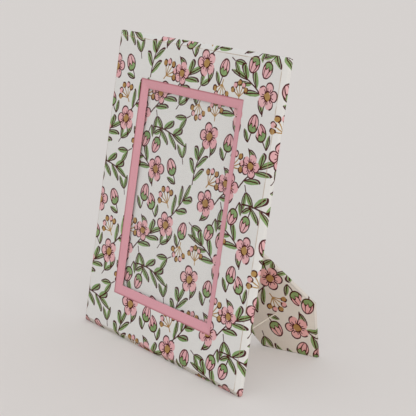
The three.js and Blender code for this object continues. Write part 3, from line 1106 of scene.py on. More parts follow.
# %% Boughs and leaf pairs
LEAF_LEAN = math.radians(38)
LEAF_SPACING, LEAF_ROWS = 10.0, 2
LEAF_LENGTH, LEAF_HALF = 15.0, 1.75
LEAF_BOW = 1.5
LEAF_STAGGER = 0.25
STEM_LENGTH = LEAF_SPACING * LEAF_ROWS - 1.0
STEM_SPARE, TIP_OVERLAP = 4.0, 2.0
BOUGH_BEND = 0.17
PAIR_SPREAD = 0.42
PAIR_FOOT, PAIR_LENGTH, PAIR_HALF, PAIR_GAP = 4.5, 11.5, 1.7, 1.75
PAIR_STALK_HALF = 2.3
FINE_LINE = INK * 0.8


def bough(x, y):
    """A bent stem with leaves on both sides in turn, and one at its tip."""
    x = x - y * y * (BOUGH_BEND / STEM_LENGTH)
    reach = abs(x)
    rung = (y - reach / math.tan(LEAF_LEAN)) / LEAF_SPACING + maths("SIGN", x) * LEAF_STAGGER
    number = maths("FLOOR", rung)
    share = reach / math.sin(LEAF_LEAN) / (LEAF_LENGTH - number)
    off_rung = (rung - number - 0.5) * (LEAF_SPACING * math.sin(LEAF_LEAN))
    aside = off_rung + share * share * LEAF_BOW - LEAF_BOW / 5
    grows = over(number, -0.5) * under(number, LEAF_ROWS - 0.5)
    green, ink = lance_leaf(share, aside, LEAF_HALF)
    tip_green, tip_ink = lance_leaf((y - STEM_LENGTH + TIP_OVERLAP) / LEAF_LENGTH, x, LEAF_HALF)
    stem = line(x, INK) * line(y - STEM_LENGTH / 2, STEM_LENGTH / 2 + STEM_SPARE)
    return {"Green": most(green * grows, tip_green), "Stem": most(ink * grows, tip_ink, stem)}


def leaf_pair(x, y):
    reach = abs(x)
    cosine, sine = math.cos(PAIR_SPREAD), math.sin(PAIR_SPREAD)
    share = (y * cosine + reach * sine - PAIR_FOOT) / PAIR_LENGTH
    aside = reach * cosine - y * sine + PAIR_GAP
    green, ink = lance_leaf(share, aside, PAIR_HALF)
    stalk = line(x, FINE_LINE) * line(y - PAIR_STALK_HALF, PAIR_STALK_HALF)
    return {"Green": green, "Stem": most(ink, stalk)}


new_group("bough", ("X", "Y"), bough)
new_group("leaf_pair", ("X", "Y"), leaf_pair)

# %% [markdown]
# ## Blossoms
# A blossom is drawn round its heart: the angle's cosine, five times round, gives the petals' edge, the
# seams between them and a short vein in each. The pink slips to one side, and the rim is inked on the
# other.

# %% Blossom
STALK, NECK = 9.5, 2.5
STALK_WAVE, STALK_SWING = 0.3, 0.5
STALK_LINE, VEIN_LINE = INK * 0.9, INK * 0.55
SIDE_LEAF_TURN, SIDE_LEAF_LENGTH, SIDE_LEAF_HALF = 0.75, 9.0, 1.45
SIDE_LEAF_FOOT = 1.0
HEART, HEART_INSET = 2.8, 0.1
PETALS = 5.0
PETAL_SHORT, PETAL_LONG, PETAL_ROUND = 4.7, 3.1, 0.6
VEIN_END = 4.9
PINK_SLIP, PINK_SLIP_WAY, PINK_SPREAD = SLIP * 1.3, 2.2, 0.05
RIM_WAY, RIM_GAP = 0.7, -0.35
RING_GAPS, RING_GAP = 3.0, -0.6


def side_leaf(x, y):
    cosine, sine = math.cos(SIDE_LEAF_TURN), math.sin(SIDE_LEAF_TURN)
    return lance_leaf((y * cosine + x * sine) / SIDE_LEAF_LENGTH, x * cosine - y * sine, SIDE_LEAF_HALF)


def blossom(x, y):
    """Five petals round a heart, on a stalk with one leaf."""
    sway = maths("SINE", y * STALK_WAVE) * STALK_SWING
    stalk = line(x - sway, STALK_LINE) * line(y - STALK / 2, STALK / 2)
    green, leaf_ink = side_leaf(x, y - SIDE_LEAF_FOOT)
    y = y - STALK - NECK
    radius = span(x, y)
    angle = maths("ARCTAN2", x, y)
    lobe = abs(maths("COSINE", angle * (PETALS / 2)))
    edge = maths("POWER", lobe, PETAL_ROUND) * PETAL_LONG + PETAL_SHORT
    inside = below(radius - edge, 0.0)
    pink = below(radius - edge - maths("COSINE", angle - PINK_SLIP_WAY) * PINK_SLIP, PINK_SPREAD)
    rim = line(radius - edge, INK) * over(maths("COSINE", angle + RIM_WAY), RIM_GAP)
    off_heart = over(radius, HEART)
    seam = below(lobe * radius / (PETALS / 2), FINE_LINE) * inside * off_heart
    off_vein = abs(maths("COSINE", angle * PETALS)) * radius / PETALS
    vein = below(off_vein, VEIN_LINE) * below(radius, VEIN_END) * off_heart
    ring = line(radius - HEART, INK) * over(maths("SINE", angle * RING_GAPS), RING_GAP)
    heart = below(span(x - SLIP, y + SLIP), HEART - HEART_INSET)
    return {"Green": green, "Pink": pink, "Ochre": heart, "Ink": most(rim, seam, vein, ring),
            "Stem": most(stalk, leaf_ink) * (1.0 - inside), "Cover": inside}


new_group("blossom", ("X", "Y"), blossom)

# %% [markdown]
# ## Buds
# A bud is an egg of folded petals in a toothed cup. Its places are first measured in half widths and
# half heights, so the egg is a plain circle there, narrower at the top. The cup's teeth are a sine
# wave.

# %% Bud
BUD_MIDDLE, BUD_HALF_HEIGHT = 11.5, 5.4
BUD_HALF_WIDTH, BUD_TAPER = 4.2, 0.5
BUD_STALK_HALF, BUD_STALK_WAVE, BUD_STALK_SWING = 3.5, 0.35, 0.4
BUD_LINE, BUD_LINE_SOFT, BUD_SOFT = 0.09, 0.03, 0.04
BUD_SLIP_SIDE, BUD_SLIP_UP = 0.12, 0.08
PETALS_SIZE, CUP_SIZE, CUP_SOFT = 0.98, 1.06, 0.05
LEAST_BELLY = 0.05
FOLD_OUT, FOLD_FOOT = 0.45, -0.25
CUP_LINE, CUP_TEETH, TOOTH_HEIGHT = 0.45, 4.4, 0.42


def bud(x, y):
    """An egg of folded petals in a toothed cup, on a stalk with one leaf."""
    sway = maths("SINE", y * BUD_STALK_WAVE) * BUD_STALK_SWING
    stalk = line(x - sway, STALK_LINE) * line(y - BUD_STALK_HALF, BUD_STALK_HALF)
    leaf_green, leaf_ink = side_leaf(0.0 - x, y)
    high = (y - BUD_MIDDLE) / BUD_HALF_HEIGHT
    wide = x / (BUD_HALF_WIDTH - high * BUD_TAPER)
    egg = span(wide, high)
    inside = below(egg, 1.0, BUD_SOFT)
    petals = below(span(wide + BUD_SLIP_SIDE, high - BUD_SLIP_UP), PETALS_SIZE, BUD_SOFT)
    belly = maths("SQRT", maths("MAXIMUM", 1.0 - high * high, LEAST_BELLY))
    off_fold = abs(wide + BUD_SLIP_SIDE) / belly - FOLD_OUT
    fold = line(off_fold, BUD_LINE, BUD_LINE_SOFT) * inside * over(high, FOLD_FOOT)
    cup_edge = high + CUP_LINE - abs(maths("SINE", wide * CUP_TEETH)) * TOOTH_HEIGHT
    cup = below(cup_edge, 0.0, CUP_SOFT) * below(egg, CUP_SIZE, BUD_SOFT)
    cup_line = line(cup_edge, BUD_LINE, BUD_LINE_SOFT) * inside
    rim = line(egg - 1.0, BUD_LINE, BUD_LINE_SOFT)
    return {"Green": most(cup, leaf_green * (1.0 - inside)), "Pink": petals * (1.0 - cup),
            "Ink": most(rim, fold, cup_line), "Stem": most(stalk, leaf_ink), "Cover": inside}


new_group("bud", ("X", "Y"), bud)

# %% [markdown]
# ## Berries
# Five berries stand on a fan of ochre twigs, pink and ochre in turn. The angle is rounded to the
# nearest twig, so one twig with its berry draws the whole fan.

# %% Berries
BERRY, BERRY_TURN, BERRY_REACH = 1.85, 0.46, 9.4
LAST_BERRY, BERRY_DROP = 2.0, 0.9
FAN_FOOT, FAN_STALK_HALF = 3.0, 2.0
TWIG_MIDDLE, TWIG_HALF, TWIG_AIM = 3.8, 3.9, 0.7
BERRY_RIM_SIDE = -0.6
BERRY_LINE, TWIG_LINE = INK * 0.85, INK * 0.7


def berries(x, y):
    """Five berries on a fan of ochre twigs, pink and ochre in turn."""
    stalk = line(x, FINE_LINE) * line(y - FAN_STALK_HALF, FAN_STALK_HALF)
    y = y - FAN_FOOT
    radius = span(x, y)
    angle = maths("ARCTAN2", x, y)
    nearest = maths("ROUND", angle / BERRY_TURN)
    sector = maths("MINIMUM", maths("MAXIMUM", nearest, -LAST_BERRY), LAST_BERRY)
    aim = angle - sector * BERRY_TURN
    out = radius * maths("COSINE", aim)
    aside = radius * maths("SINE", aim)
    dot = span(aside, out - BERRY_REACH + abs(sector) * BERRY_DROP)
    odd = maths("MODULO", abs(sector), 2.0)
    berry = below(dot, BERRY)
    rim = line(dot - BERRY, BERRY_LINE) * over(aside, BERRY_RIM_SIDE)
    twig = line(aside, TWIG_LINE) * line(out - TWIG_MIDDLE, TWIG_HALF) * under(abs(aim), TWIG_AIM)
    ochre = most(berry * (1.0 - odd), stalk, twig)
    return {"Pink": berry * odd, "Ochre": ochre, "Ink": rim, "Cover": berry}


new_group("berries", ("X", "Y"), berries)

# %% [markdown]
# ## Laying out the garden
# A printer lays out one repeat by hand, and this list gives one repeat: each plant has its middle in the
# repeat in millimetres, its heading in degrees, its size and a way of 1 or -1, which mirrors it. A motif's
# reach is its height, and its slim and lean say how far it spreads aside and which way it bends.

# %% Lay out one repeat
REPEAT_WIDTH, REPEAT_HEIGHT = 78.0, 96.0
MOTIF_REACH = {"bough": 31.0, "leaf_pair": 15.0, "blossom": 19.5, "bud": 17.0, "berries": 13.5}
MOTIF_SLIM = {"bough": 0.6, "leaf_pair": 0.9, "blossom": 0.8, "bud": 0.8, "berries": 1.0}
MOTIF_LEAN = {"bough": 0.27, "leaf_pair": 0.0, "blossom": 0.0, "bud": 0.0, "berries": 0.0}
PLANTS = {
    "bough": ((1.0, 0.0, 40, 1.0, 1), (64.0, 5.0, -50, 1.0, -1), (35.0, 25.0, 50, 0.95, -1),
              (42.0, 56.0, 0, 0.95, 1), (13.0, 73.0, 87, 1.0, 1)),
    "leaf_pair": ((75.0, 29.0, 160, 1.0, 1), (25.0, 82.0, -120, 1.0, 1), (19.0, 93.0, 35, 0.9, 1),
                  (50.0, 13.0, 120, 0.9, 1), (28.0, 59.0, -15, 0.9, 1)),
    "berries": ((17.0, 27.0, -35, 1.1, 1), (61.0, 48.0, 40, 1.1, 1), (38.0, 91.0, 190, 1.0, 1),
                (55.0, 92.0, -5, 0.95, 1)),
    "bud": ((38.0, 6.0, 15, 1.05, 1), (20.0, 46.0, -30, 1.05, 1), (0.0, 63.0, 200, 1.0, -1),
            (71.0, 71.0, 12, 1.05, 1), (3.0, 19.0, -35, 1.05, -1), (66.0, 17.0, 205, 1.0, 1)),
    "blossom": ((21.0, 7.0, -20, 1.1, 1), (57.0, 30.0, 15, 1.12, 1), (2.0, 42.0, 10, 1.1, -1),
                (53.0, 73.0, -15, 1.12, 1), (74.0, 50.0, 160, 0.95, -1)),
}
print("plants in one repeat:", sum(len(plants) for plants in PLANTS.values()))

# %% [markdown]
# ## Planting it
# The repeat is a half drop: each column starts half a repeat lower than the last, which hides the
# squares. Drawing every plant at every place would be slow, so the place is measured from the nearest
# plant of each kind first, and each kind is drawn once.

# %% Find the nearest plant
PICK_SHARE, PICK_FIRST, PICK_SECOND = 0, 2, 3


def picked(share, first, second):
    feeds = {PICK_SHARE: share, PICK_FIRST: first, PICK_SECOND: second}
    return Wire(wired("ShaderNodeMix", feeds).outputs[0])


def nearest_plant(column, row, home_column, home_row, cosine, sine, way, slim, lean,
                  last_x, last_y, last_gap):
    """A place in millimetres aside and up a plant's nearest copy, unless the last plants were nearer."""
    column = maths("WRAP", column - home_column, 0.5, -0.5)
    row = maths("WRAP", row - home_row, 0.5, -0.5)
    x = column * REPEAT_WIDTH
    y = column * (REPEAT_HEIGHT / 2) + row * REPEAT_HEIGHT
    aside = (x * cosine - y * sine) * way
    up = x * sine + y * cosine
    gap = span(aside - up * lean, up * slim)
    nearer = under(gap, last_gap)
    return {"X": picked(nearer, last_x, aside), "Y": picked(nearer, last_y, up),
            "Gap": maths("MINIMUM", gap, last_gap)}


PLANT_INPUTS = ("Column", "Row", "Home Column", "Home Row", "Cosine", "Sine", "Way", "Slim", "Lean",
                "Last X", "Last Y", "Last Gap")
new_group("nearest_plant", PLANT_INPUTS, nearest_plant)

# %% [markdown]
# ## Drawing one kind of motif
# The group compares one plant with the nearest so far, so a chain of them, one for each plant of a
# kind, ends with the nearest of all. The motif is then drawn once, at the end of the chain. A drawing
# for each plant would make the finish too big to render.

# %% Plant one kind of motif
FAR = 1000.0


def planted(column, row, kind):
    """The masks of one kind of motif, drawn at its nearest plant."""
    near = {"X": 0.0, "Y": 0.0, "Gap": FAR}
    for x, y, heading, size, way in PLANTS[kind]:
        turn = math.radians(heading)
        home_column = x / REPEAT_WIDTH
        near = placed(column.tree, "nearest_plant", {
            "Column": column, "Row": row,
            "Home Column": home_column, "Home Row": y / REPEAT_HEIGHT - home_column / 2,
            "Cosine": math.cos(turn) / size, "Sine": math.sin(turn) / size, "Way": way,
            "Slim": MOTIF_SLIM[kind], "Lean": MOTIF_LEAN[kind],
            "Last X": near["X"], "Last Y": near["Y"], "Last Gap": near["Gap"]})
    return placed(column.tree, kind, {"X": near["X"], "Y": near["Y"] + MOTIF_REACH[kind] / 2})


print("plants can be found")

# %% [markdown]
# ## Printing the screens
# The masks are printed one over the other: green, pink, ochre, then the dark line. The place is first
# pushed about a little, widely and finely, so that no two repeats and no two lines are quite alike, and
# each colour runs between two tones, as thin ink does.

# %% Print the screens
DRIFT, DRIFT_WIDTH = 2.4, 30.0
WOBBLE, WOBBLE_WIDTH = 0.5, 2.2
TONE_SHARE, PATCH_SHARE = 1.5, 1.2
GROUND = shade(230, 228, 224)
GREENS = (shade(152, 178, 122), shade(116, 146, 90))
PINKS = (shade(236, 190, 190), shade(228, 168, 173))
OCHRES = (shade(186, 150, 92), shade(168, 126, 76))
DARK_LINE = shade(70, 6, 12)
LINE_SHARE = 0.97


def garden_print(x, y):
    place = joined(x, y)
    drift_x, drift_y, tone = cloud(place, DRIFT_WIDTH)
    wobble_x, wobble_y, patch = cloud(place, WOBBLE_WIDTH)
    x = x + (drift_x - 0.5) * DRIFT + (wobble_x - 0.5) * WOBBLE
    y = y + (drift_y - 0.5) * DRIFT + (wobble_y - 0.5) * WOBBLE
    column = x / REPEAT_WIDTH
    row = y / REPEAT_HEIGHT - column / 2
    screens = {}
    for kind in PLANTS:
        for title, mask in planted(column, row, kind).items():
            screens[title] = most(screens[title], mask) if title in screens else mask
    ink = most(screens["Ink"], screens["Stem"] * (1.0 - screens["Cover"]))
    uneven = (tone - 0.5) * TONE_SHARE + (patch - 0.5) * PATCH_SHARE + 0.5
    color = blended(screens["Green"], GROUND, blended(uneven, *GREENS))
    color = blended(screens["Pink"], color, blended(uneven, *PINKS))
    color = blended(screens["Ochre"], color, blended(uneven, *OCHRES))
    return {"Color": blended(ink * LINE_SHARE, color, DARK_LINE)}


new_group("garden_print", ("X", "Y"), garden_print)

# %% [markdown]
# ## The weave
# Plain cotton has about 28 threads to the centimetre, over and under in turn. Modelled threads would be
# far too many, so the group gives a height for the bump and a streaky tone, since yarn is never even:
# long thin noise along the warp and along the weft.

# %% Group for plain weave
STREAK_LONG, STREAK_THIN = 0.12, 2.4
CROSSING_HEIGHT, THREAD_HEIGHT = 0.25, 0.3


def plain_weave(x, y, pitch):
    warp = maths("SINE", x / pitch * math.pi)
    weft = maths("SINE", y / pitch * math.pi)
    height = warp * weft * CROSSING_HEIGHT + (abs(warp) + abs(weft)) * THREAD_HEIGHT
    warp_streak = cloud(joined(x * STREAK_THIN, y * STREAK_LONG), 1.0)[0]
    weft_streak = cloud(joined(x * STREAK_LONG, y * STREAK_THIN), 1.0)[0]
    return {"Height": height, "Tone": (warp_streak + weft_streak) * 0.5}


new_group("plain_weave", ("X", "Y", "Pitch"), plain_weave)

# %% [markdown]
# ## The groove round the window
# Where the pink band goes in under the print's fold there is a thin groove, and shade is painted into it as
# a darker colour. Both cloths need the same line, so one group measures the way off it, and each finish
# says how far the painted shade reaches.

# %% Group for the groove
GROOVE_SOFT = 0.7


def window_groove(x, y, reach):
    off_edge = most(abs(x) - BINDING_OUTER[0], abs(y) - BINDING_OUTER[1])
    # The mask says where the groove's painted shade goes.
    return {"Mask": below(abs(off_edge) - reach, 0.0, GROOVE_SOFT)}


new_group("window_groove", ("X", "Y", "Reach"), window_groove)

# %% [markdown]
# ## What the finishes share
# Each finish keeps its own shader, a Principled BSDF, and what is the same all over is set on the
# shader's sockets. Cloth reads the piece's flat cloth places. The small helpers here place the cloth,
# turn a height into a bump and make a colour darker or lighter by a tone.

# %% Helpers for finishes
TONE_LOW, TONE_RANGE = 0.3, 0.4


def new_finish(name, sockets):
    """A finish's tree and its shader's inputs, with the values that are the same all over."""
    material = finishes[name]
    material.use_nodes = True
    shader = material.node_tree.nodes["Principled BSDF"].inputs
    for title, value in sockets.items():
        shader[title].default_value = value
    return material.node_tree, shader


def cloth_place(tree, shift=(0.0, 0.0), turn=0.0):
    """The flat places, moved and turned so that each piece is cut from another part of the cloth."""
    uv = added(tree, "ShaderNodeUVMap", uv_map="flat_cloth")
    mapping = added(tree, "ShaderNodeMapping", {
        "Location": (*shift, 0.0), "Rotation": (0.0, 0.0, math.radians(turn))})
    plug(mapping.inputs["Vector"], Wire(uv.outputs[0]))
    return split(Wire(mapping.outputs[0]))[:2]


def bumped(height, distance, strength):
    feeds = {"Height": height, "Distance": distance, "Strength": strength}
    return Wire(wired("ShaderNodeBump", feeds).outputs[0])


def tinted(color, tone, low, high):
    """A colour made darker or lighter by a tone that runs from about 0.3 to 0.7."""
    return blended(1.0, color, (tone - TONE_LOW) * ((high - low) / TONE_RANGE) + low, "MULTIPLY")


print("finish helpers ready")

# %% [markdown]
# ## Painted shade on the printed cotton
# Where the cotton is folded over the board's front edge, a thin tan line, stronger in patches, is
# painted shade in the crease. The edge that stands on the table is painted darker, as shade under it,
# and the groove round the window is painted darker, as shade in it. All three follow the flat places,
# so they stay on their folds from every side.

# %% Painted shade at the fold, the bottom edge and the groove
# Painted shade: a thin tan line along the front fold, stronger in patches.
FOLD_LINE_SHADE = shade(178, 152, 124)
CREASE_WIDTH, CREASE_SOFT = 0.28, 0.12
FOLD_SHADE_PATCH, FOLD_SHADE_LEVEL = 9.0, 0.55
FOLD_SHADE_MOST, FOLD_SHADE_LEAST = 0.5, 0.15
# Painted shade: the bottom edge, which faces down to the table, is darker.
BOTTOM_SHADE = shade(226, 222, 214)
BOTTOM_SHADE_RISE, BOTTOM_SHADE_SOFT = 0.6, 0.8
# Painted shade in the groove round the window, and how far it reaches on each cloth.
GROOVE_SHADE = shade(221, 199, 199)
PRINT_GROOVE_SHADE_REACH, BAND_GROOVE_SHADE_REACH = -0.4, 0.75


def painted_fold_shade(tree):
    """Painted shade: a tan line where the cloth is folded over the board's front rim, stronger in patches."""
    u, v = cloth_place(tree)
    off_fold = most(abs(u) - (HALF_WIDTH - FOLD_INSET), abs(v) - (HALF_HEIGHT - FOLD_INSET))
    painted_shade = below(cloud(joined(u, v), FOLD_SHADE_PATCH)[0], FOLD_SHADE_LEVEL, CREASE_SOFT)
    return line(off_fold, CREASE_WIDTH, CREASE_SOFT) * (painted_shade * FOLD_SHADE_MOST + FOLD_SHADE_LEAST)


def painted_bottom_shade(tree):
    """Painted shade: the edge that stands on the table is darker, as shade under it."""
    return below(cloth_place(tree)[1], FOLD_INSET - HALF_HEIGHT - BOTTOM_SHADE_RISE, BOTTOM_SHADE_SOFT)


def painted_groove_shade(tree, color, reach):
    """Painted shade in the groove between the print's fold and the pink band."""
    u, v = cloth_place(tree)
    mask = placed(tree, "window_groove", {"X": u, "Y": v, "Reach": reach})["Mask"]
    return blended(mask, color, GROOVE_SHADE, "MULTIPLY")


print("wear ready")

# %% [markdown]
# ## Printed cotton and printed card
# One recipe serves all the printed pieces: the print and the weave from their groups on a rough shader,
# with a little sheen from loose fibres. Each piece is cut from another part of the cloth, and a tint tells
# the card apart, makes the leg's edges darker, as painted shade, and its inner side lighter and warmer,
# as painted light. Only the frame's own cotton has the painted shade at its fold, bottom edge and groove.

# %% Printed finishes
THREAD = 0.36
WEAVE_BUMP = 0.00006
COTTON_ROUGHNESS, COTTON_BUMP = 0.9, 0.5
CARD_ROUGHNESS, CARD_BUMP = 0.75, 0.15
COTTON_TONES = (0.95, 1.03)
FRONT_SHIFT, BACK_SHIFT, CARD_SHIFT = (7.0, 11.0), (44.0, 62.0), (31.0, 27.0)
LEG_PLACE = {"shift": (21.0, 3.0), "turn": 45.0}
WHITE, CARD_TINT = (1.0, 1.0, 1.0), (1.06, 1.06, 1.06)
# Tints of the leg's cotton: darker on its edges, as painted shade, lighter and warmer on its inner face, as
# painted light.
EDGE_SHADE_TINT, INNER_LIGHT_TINT = (0.9, 0.84, 0.79), (1.07, 1.0, 0.93)


def printed_finish(name, shift, turn=0.0, tint=WHITE, roughness=COTTON_ROUGHNESS, bump=COTTON_BUMP,
                   painted_shade=False):
    tree, shader = new_finish(name, {
        "Roughness": roughness, "Specular IOR Level": 0.08, "Sheen Weight": 0.02, "Sheen Roughness": 0.6})
    x, y = cloth_place(tree, shift, turn)
    color = placed(tree, "garden_print", {"X": x, "Y": y})["Color"]
    weave = placed(tree, "plain_weave", {"X": x, "Y": y, "Pitch": THREAD})
    # Painted shade at the front fold, at the bottom edge and in the groove round the window.
    if painted_shade:
        color = blended(painted_fold_shade(tree), color, FOLD_LINE_SHADE)
        color = blended(painted_bottom_shade(tree), color, BOTTOM_SHADE, "MULTIPLY")
        color = painted_groove_shade(tree, color, PRINT_GROOVE_SHADE_REACH)
    color = tinted(color, weave["Tone"], *COTTON_TONES)
    plug(shader["Base Color"], blended(1.0, color, (*tint, 1.0), "MULTIPLY"))
    plug(shader["Normal"], bumped(weave["Height"], WEAVE_BUMP, bump))


printed_finish("printed_cotton", FRONT_SHIFT, painted_shade=True)
printed_finish("back_cotton", BACK_SHIFT)
printed_finish("leg_cotton", **LEG_PLACE)
# Painted shade on the leg's edges and painted light on its inner face.
printed_finish("leg_edge_painted_shade", **LEG_PLACE, tint=EDGE_SHADE_TINT)
printed_finish("leg_inner_painted_light", **LEG_PLACE, tint=INNER_LIGHT_TINT)
printed_finish("printed_card", CARD_SHIFT, tint=CARD_TINT, roughness=CARD_ROUGHNESS, bump=CARD_BUMP)
print("printed finishes ready")

# %% [markdown]
# ## Pink cotton
# The band is plain dyed cotton, so its colour comes from the yarn. A flat pink would look like plastic.
# The weave's streaks make it a little uneven, and shade is painted darker into its groove.

# %% Pink cotton
PINK_YARN, PINK_TONES = shade(225, 164, 173), (0.94, 1.04)
tree, shader = new_finish("pink_cotton", {
    "Roughness": 0.88, "Specular IOR Level": 0.2, "Sheen Weight": 0.05})
x, y = cloth_place(tree)
weave = placed(tree, "plain_weave", {"X": x, "Y": y, "Pitch": THREAD})
pink = tinted(PINK_YARN, weave["Tone"], *PINK_TONES)
# Painted shade: the band is darker in the groove at its outer edge.
plug(shader["Base Color"], painted_groove_shade(tree, pink, BAND_GROOVE_SHADE_REACH))
plug(shader["Normal"], bumped(weave["Height"], WEAVE_BUMP, COTTON_BUMP))
print("pink cotton", len(tree.nodes), "nodes")

# %% [markdown]
# ## Grey board and clear sheet
# Grey board is pressed from waste paper, and its fibres show as fine mottling in its colour and on its
# surface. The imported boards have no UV, so their finish reads Object coordinates, in millimetres. The
# clear sheet is thin and bends no light, so it is a faint, smooth film with a low alpha, which is
# lighter work than real glass.

# %% Grey board and clear sheet
METRES_TO_MM = 1000.0
BOARD_GREY, BOARD_TONES = shade(156, 146, 132), (0.85, 1.08)
FIBRE_SIZE, FIBRE_DETAIL = 1.1, 4.0
FIBRE_BUMP, FIBRE_STRENGTH = 0.0001, 0.4
SHEET_GREY = shade(150, 154, 154)


def solid_place(tree, stretch=(1.0, 1.0, 1.0)):
    """The piece's own places in millimetres, stretched for grain."""
    coordinates = added(tree, "ShaderNodeTexCoord")
    mapping = added(tree, "ShaderNodeMapping", {"Scale": [METRES_TO_MM * value for value in stretch]})
    plug(mapping.inputs["Vector"], Wire(coordinates.outputs["Object"]))
    return Wire(mapping.outputs[0])


tree, shader = new_finish("grey_board", {"Roughness": 0.92})
fibre = cloud(solid_place(tree), FIBRE_SIZE, FIBRE_DETAIL)[0]
plug(shader["Base Color"], tinted(BOARD_GREY, fibre, *BOARD_TONES))
plug(shader["Normal"], bumped(fibre, FIBRE_BUMP, FIBRE_STRENGTH))
new_finish("clear_sheet", {"Base Color": SHEET_GREY, "Roughness": 0.08, "Alpha": 0.03})
print("grey board", len(tree.nodes), "nodes")

# %% [markdown]
# ## Cord yarn
# The plies are real geometry, so their finish only has to add what is finer than a ply: the fuzz of
# cotton yarn, as small uneven spots in colour and height, and more sheen than the flat cloth has.

# %% Cord yarn
YARN, YARN_TONES = shade(232, 225, 211), (0.84, 1.06)
FUZZ_SIZE, FUZZ_DETAIL = 0.2, 3.0
FUZZ_BUMP, FUZZ_STRENGTH = 0.00008, 0.6
tree, shader = new_finish("cord_yarn", {"Roughness": 0.9, "Sheen Weight": 0.15})
fuzz = cloud(solid_place(tree), FUZZ_SIZE, FUZZ_DETAIL)[0]
plug(shader["Base Color"], tinted(YARN, fuzz, *YARN_TONES))
plug(shader["Normal"], bumped(fuzz, FUZZ_BUMP, FUZZ_STRENGTH))
print("cord yarn", len(tree.nodes), "nodes")

# %% [markdown]
# ## Brass plate
# The turn buttons are stamped from brass-plated sheet. Old brass goes brown in patches. Its rim is made
# brighter, partly as wear where fingers turn it and partly as a painted highlight, and a ring round the
# rivet is made darker, as painted shade at its seat. The rim is found from the plate's flat places, with
# the same two arcs as its outline. Stretched noise gives the brushing.

# %% Brass plate
BRASS, TARNISHED = shade(220, 184, 114), shade(160, 126, 76)
# A brighter rim, partly wear and partly a painted highlight, and a darker ring round the rivet, painted shade at
# its seat.
RIM_WEAR_AND_HIGHLIGHT_BRASS, RIVET_SEAT_SHADE = shade(240, 214, 152), shade(78, 60, 38)
BRUSHED_ALONG = (6.0, 0.6, 0.6)
BRASS_TONES, BRUSH_DETAIL = (0.84, 1.12), 3.0
BRUSH_BUMP, BRUSH_STRENGTH = 0.00004, 0.3
ROUGH_LOW, ROUGH_RANGE = 0.16, 0.3
TARNISH_SHARE, RIM_WEAR_AND_HIGHLIGHT_SHARE, RIVET_SEAT_SHADE_SHARE = 0.8, 0.6, 0.85
TARNISH_PATCH, TARNISH_LEVEL, TARNISH_SOFT = 2.4, 0.45, 0.15
RIM_WIDTH, RIM_SOFT = 0.7, 0.35
# Painted shade: a darker ring round the rivet's seat.
RIVET_SEAT_SHADE_OFF, RIVET_SEAT_SHADE_WIDTH, RIVET_SEAT_SHADE_SOFT = 0.3, 0.25, 0.35
tree, shader = new_finish("brass_plate", {"Metallic": 1.0})
brushing = cloud(solid_place(tree, BRUSHED_ALONG), 1.0, BRUSH_DETAIL)[0]
tarnish = below(cloud(solid_place(tree), TARNISH_PATCH, BRUSH_DETAIL)[0], TARNISH_LEVEL, TARNISH_SOFT)
u, v = cloth_place(tree)
along = maths("MINIMUM", maths("MAXIMUM", u, 0.0), BUTTON_TIP_OUT)
narrowing = (BUTTON_HEEL_RADIUS - BUTTON_TIP_RADIUS) / BUTTON_TIP_OUT
off_rim = span(u - along, v) + along * narrowing - BUTTON_HEEL_RADIUS
# Partly wear, partly a painted highlight: the rim is made brighter.
rim_wear_and_highlight = 1.0 - below(off_rim, -RIM_WIDTH, RIM_SOFT)
# Painted shade at the rivet's seat.
rivet_seat_shade = line(span(u, v) - RIVET_RADIUS - RIVET_SEAT_SHADE_OFF, RIVET_SEAT_SHADE_WIDTH, RIVET_SEAT_SHADE_SOFT)
brass = blended(tarnish * TARNISH_SHARE, BRASS, TARNISHED)
brass = blended(rim_wear_and_highlight * RIM_WEAR_AND_HIGHLIGHT_SHARE, tinted(brass, brushing, *BRASS_TONES), RIM_WEAR_AND_HIGHLIGHT_BRASS)
plug(shader["Base Color"], blended(rivet_seat_shade * RIVET_SEAT_SHADE_SHARE, brass, RIVET_SEAT_SHADE))
plug(shader["Roughness"], brushing * ROUGH_RANGE + ROUGH_LOW)
plug(shader["Normal"], bumped(brushing, BRUSH_BUMP, BRUSH_STRENGTH))
print("brass plate", len(tree.nodes), "nodes")

# %% [markdown]
# ## Finishes on the boards
# The boards, rails and glazing stay as they came, and only their plain materials are swapped. The
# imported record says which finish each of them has, so the list isn't written out again.

# %% Put the finishes on the boards that stay as they are
for subpart in frame["record"]["subparts"]:
    materials = frame["nodes"][subpart["node"]].data.materials
    materials.clear()
    materials.append(finishes[subpart["material_slot"]])
print("finishes on", len(frame["nodes"]), "boards and fittings")

# %% [markdown]
# ## The floor
# The photograph has a seamless pale floor. A paper sweep could be modelled, but a large flat floor that
# gives off a little of the backdrop's colour to the camera looks the same and keeps the frame's shadow.
# Light Path tells the camera's rays from the ones that carry light, so the floor doesn't light the
# frame from below.

# %% Lay the floor
FLOOR_SIZE, FLOOR_DROP = 12.0, 0.0001
FLOOR_COLOR = shade(227, 222, 218)
BACKDROP = shade(216, 211, 208)
BACKDROP_SHARE = 0.3
SEEN_RAYS = ("Is Camera Ray", "Is Glossy Ray", "Is Transmission Ray")


def seen_rays(tree):
    """1 for rays from the camera and for those that show the scene in metal or glass."""
    path = added(tree, "ShaderNodeLightPath")
    return most(*[Wire(path.outputs[title]) for title in SEEN_RAYS])


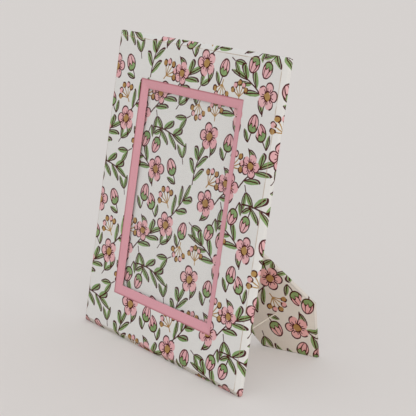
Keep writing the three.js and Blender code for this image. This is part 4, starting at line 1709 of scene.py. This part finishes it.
def mixed_shader(tree, share, first, second, result):
    node = added(tree, "ShaderNodeMixShader")
    linked(tree, (share.socket, node.inputs[0]), (first, node.inputs[1]), (second, node.inputs[2]),
           (node.outputs[0], result))


floor_mesh = bpy.data.meshes.new("floor")
half = FLOOR_SIZE / 2
floor_mesh.from_pydata([(x, y, 0.0) for x, y in rectangle(half, -half, half)], [], [(0, 1, 2, 3)])
floor_mesh.materials.append(finishes["floor_paper"])
floor = shown("floor", floor_mesh)
floor.location.z = -FLOOR_DROP
tree, shader = new_finish("floor_paper", {
    "Base Color": FLOOR_COLOR, "Roughness": 0.95, "Specular IOR Level": 0.1})
glow = added(tree, "ShaderNodeEmission", {"Color": BACKDROP})
mixed_shader(tree, seen_rays(tree) * BACKDROP_SHARE, tree.nodes["Principled BSDF"].outputs[0],
             glow.outputs[0], tree.nodes["Material Output"].inputs["Surface"])
print("floor", FLOOR_SIZE, "m wide")

# %% [markdown]
# ## Soft light
# The studio light comes from all round, so an even sky gives most of it. The camera sees the backdrop's
# colour in place of the sky. A wide, weak sun from the right lights the right edge and reaches in
# behind the frame.

# %% Light the studio
SKY_STRENGTH = 0.775
SKY_COLOR = (0.985, 1.0, 1.025, 1.0)
SUN_FROM = Vector((1.0, -0.2, 0.3))
SUN_STRENGTH = 0.94
SUN_COLOR = (1.0, 0.94, 0.86)
SUN_WIDTH = 80
world = bpy.data.worlds.new("studio")
scene.world = world
world.use_nodes = True
tree = world.node_tree
sky = tree.nodes["Background"]
sky.inputs["Color"].default_value = SKY_COLOR
sky.inputs["Strength"].default_value = SKY_STRENGTH
backdrop = added(tree, "ShaderNodeBackground", {"Color": BACKDROP})
mixed_shader(tree, seen_rays(tree), sky.outputs[0], backdrop.outputs[0],
             tree.nodes["World Output"].inputs["Surface"])
sun = bpy.data.lights.new("sun", "SUN")
sun.energy = SUN_STRENGTH
sun.color = SUN_COLOR
sun.angle = math.radians(SUN_WIDTH)
lamp = shown("sun", sun)
lamp.rotation_euler = SUN_FROM.to_track_quat("Z", "Y").to_euler()
print("sky", SKY_STRENGTH, "sun", SUN_STRENGTH)
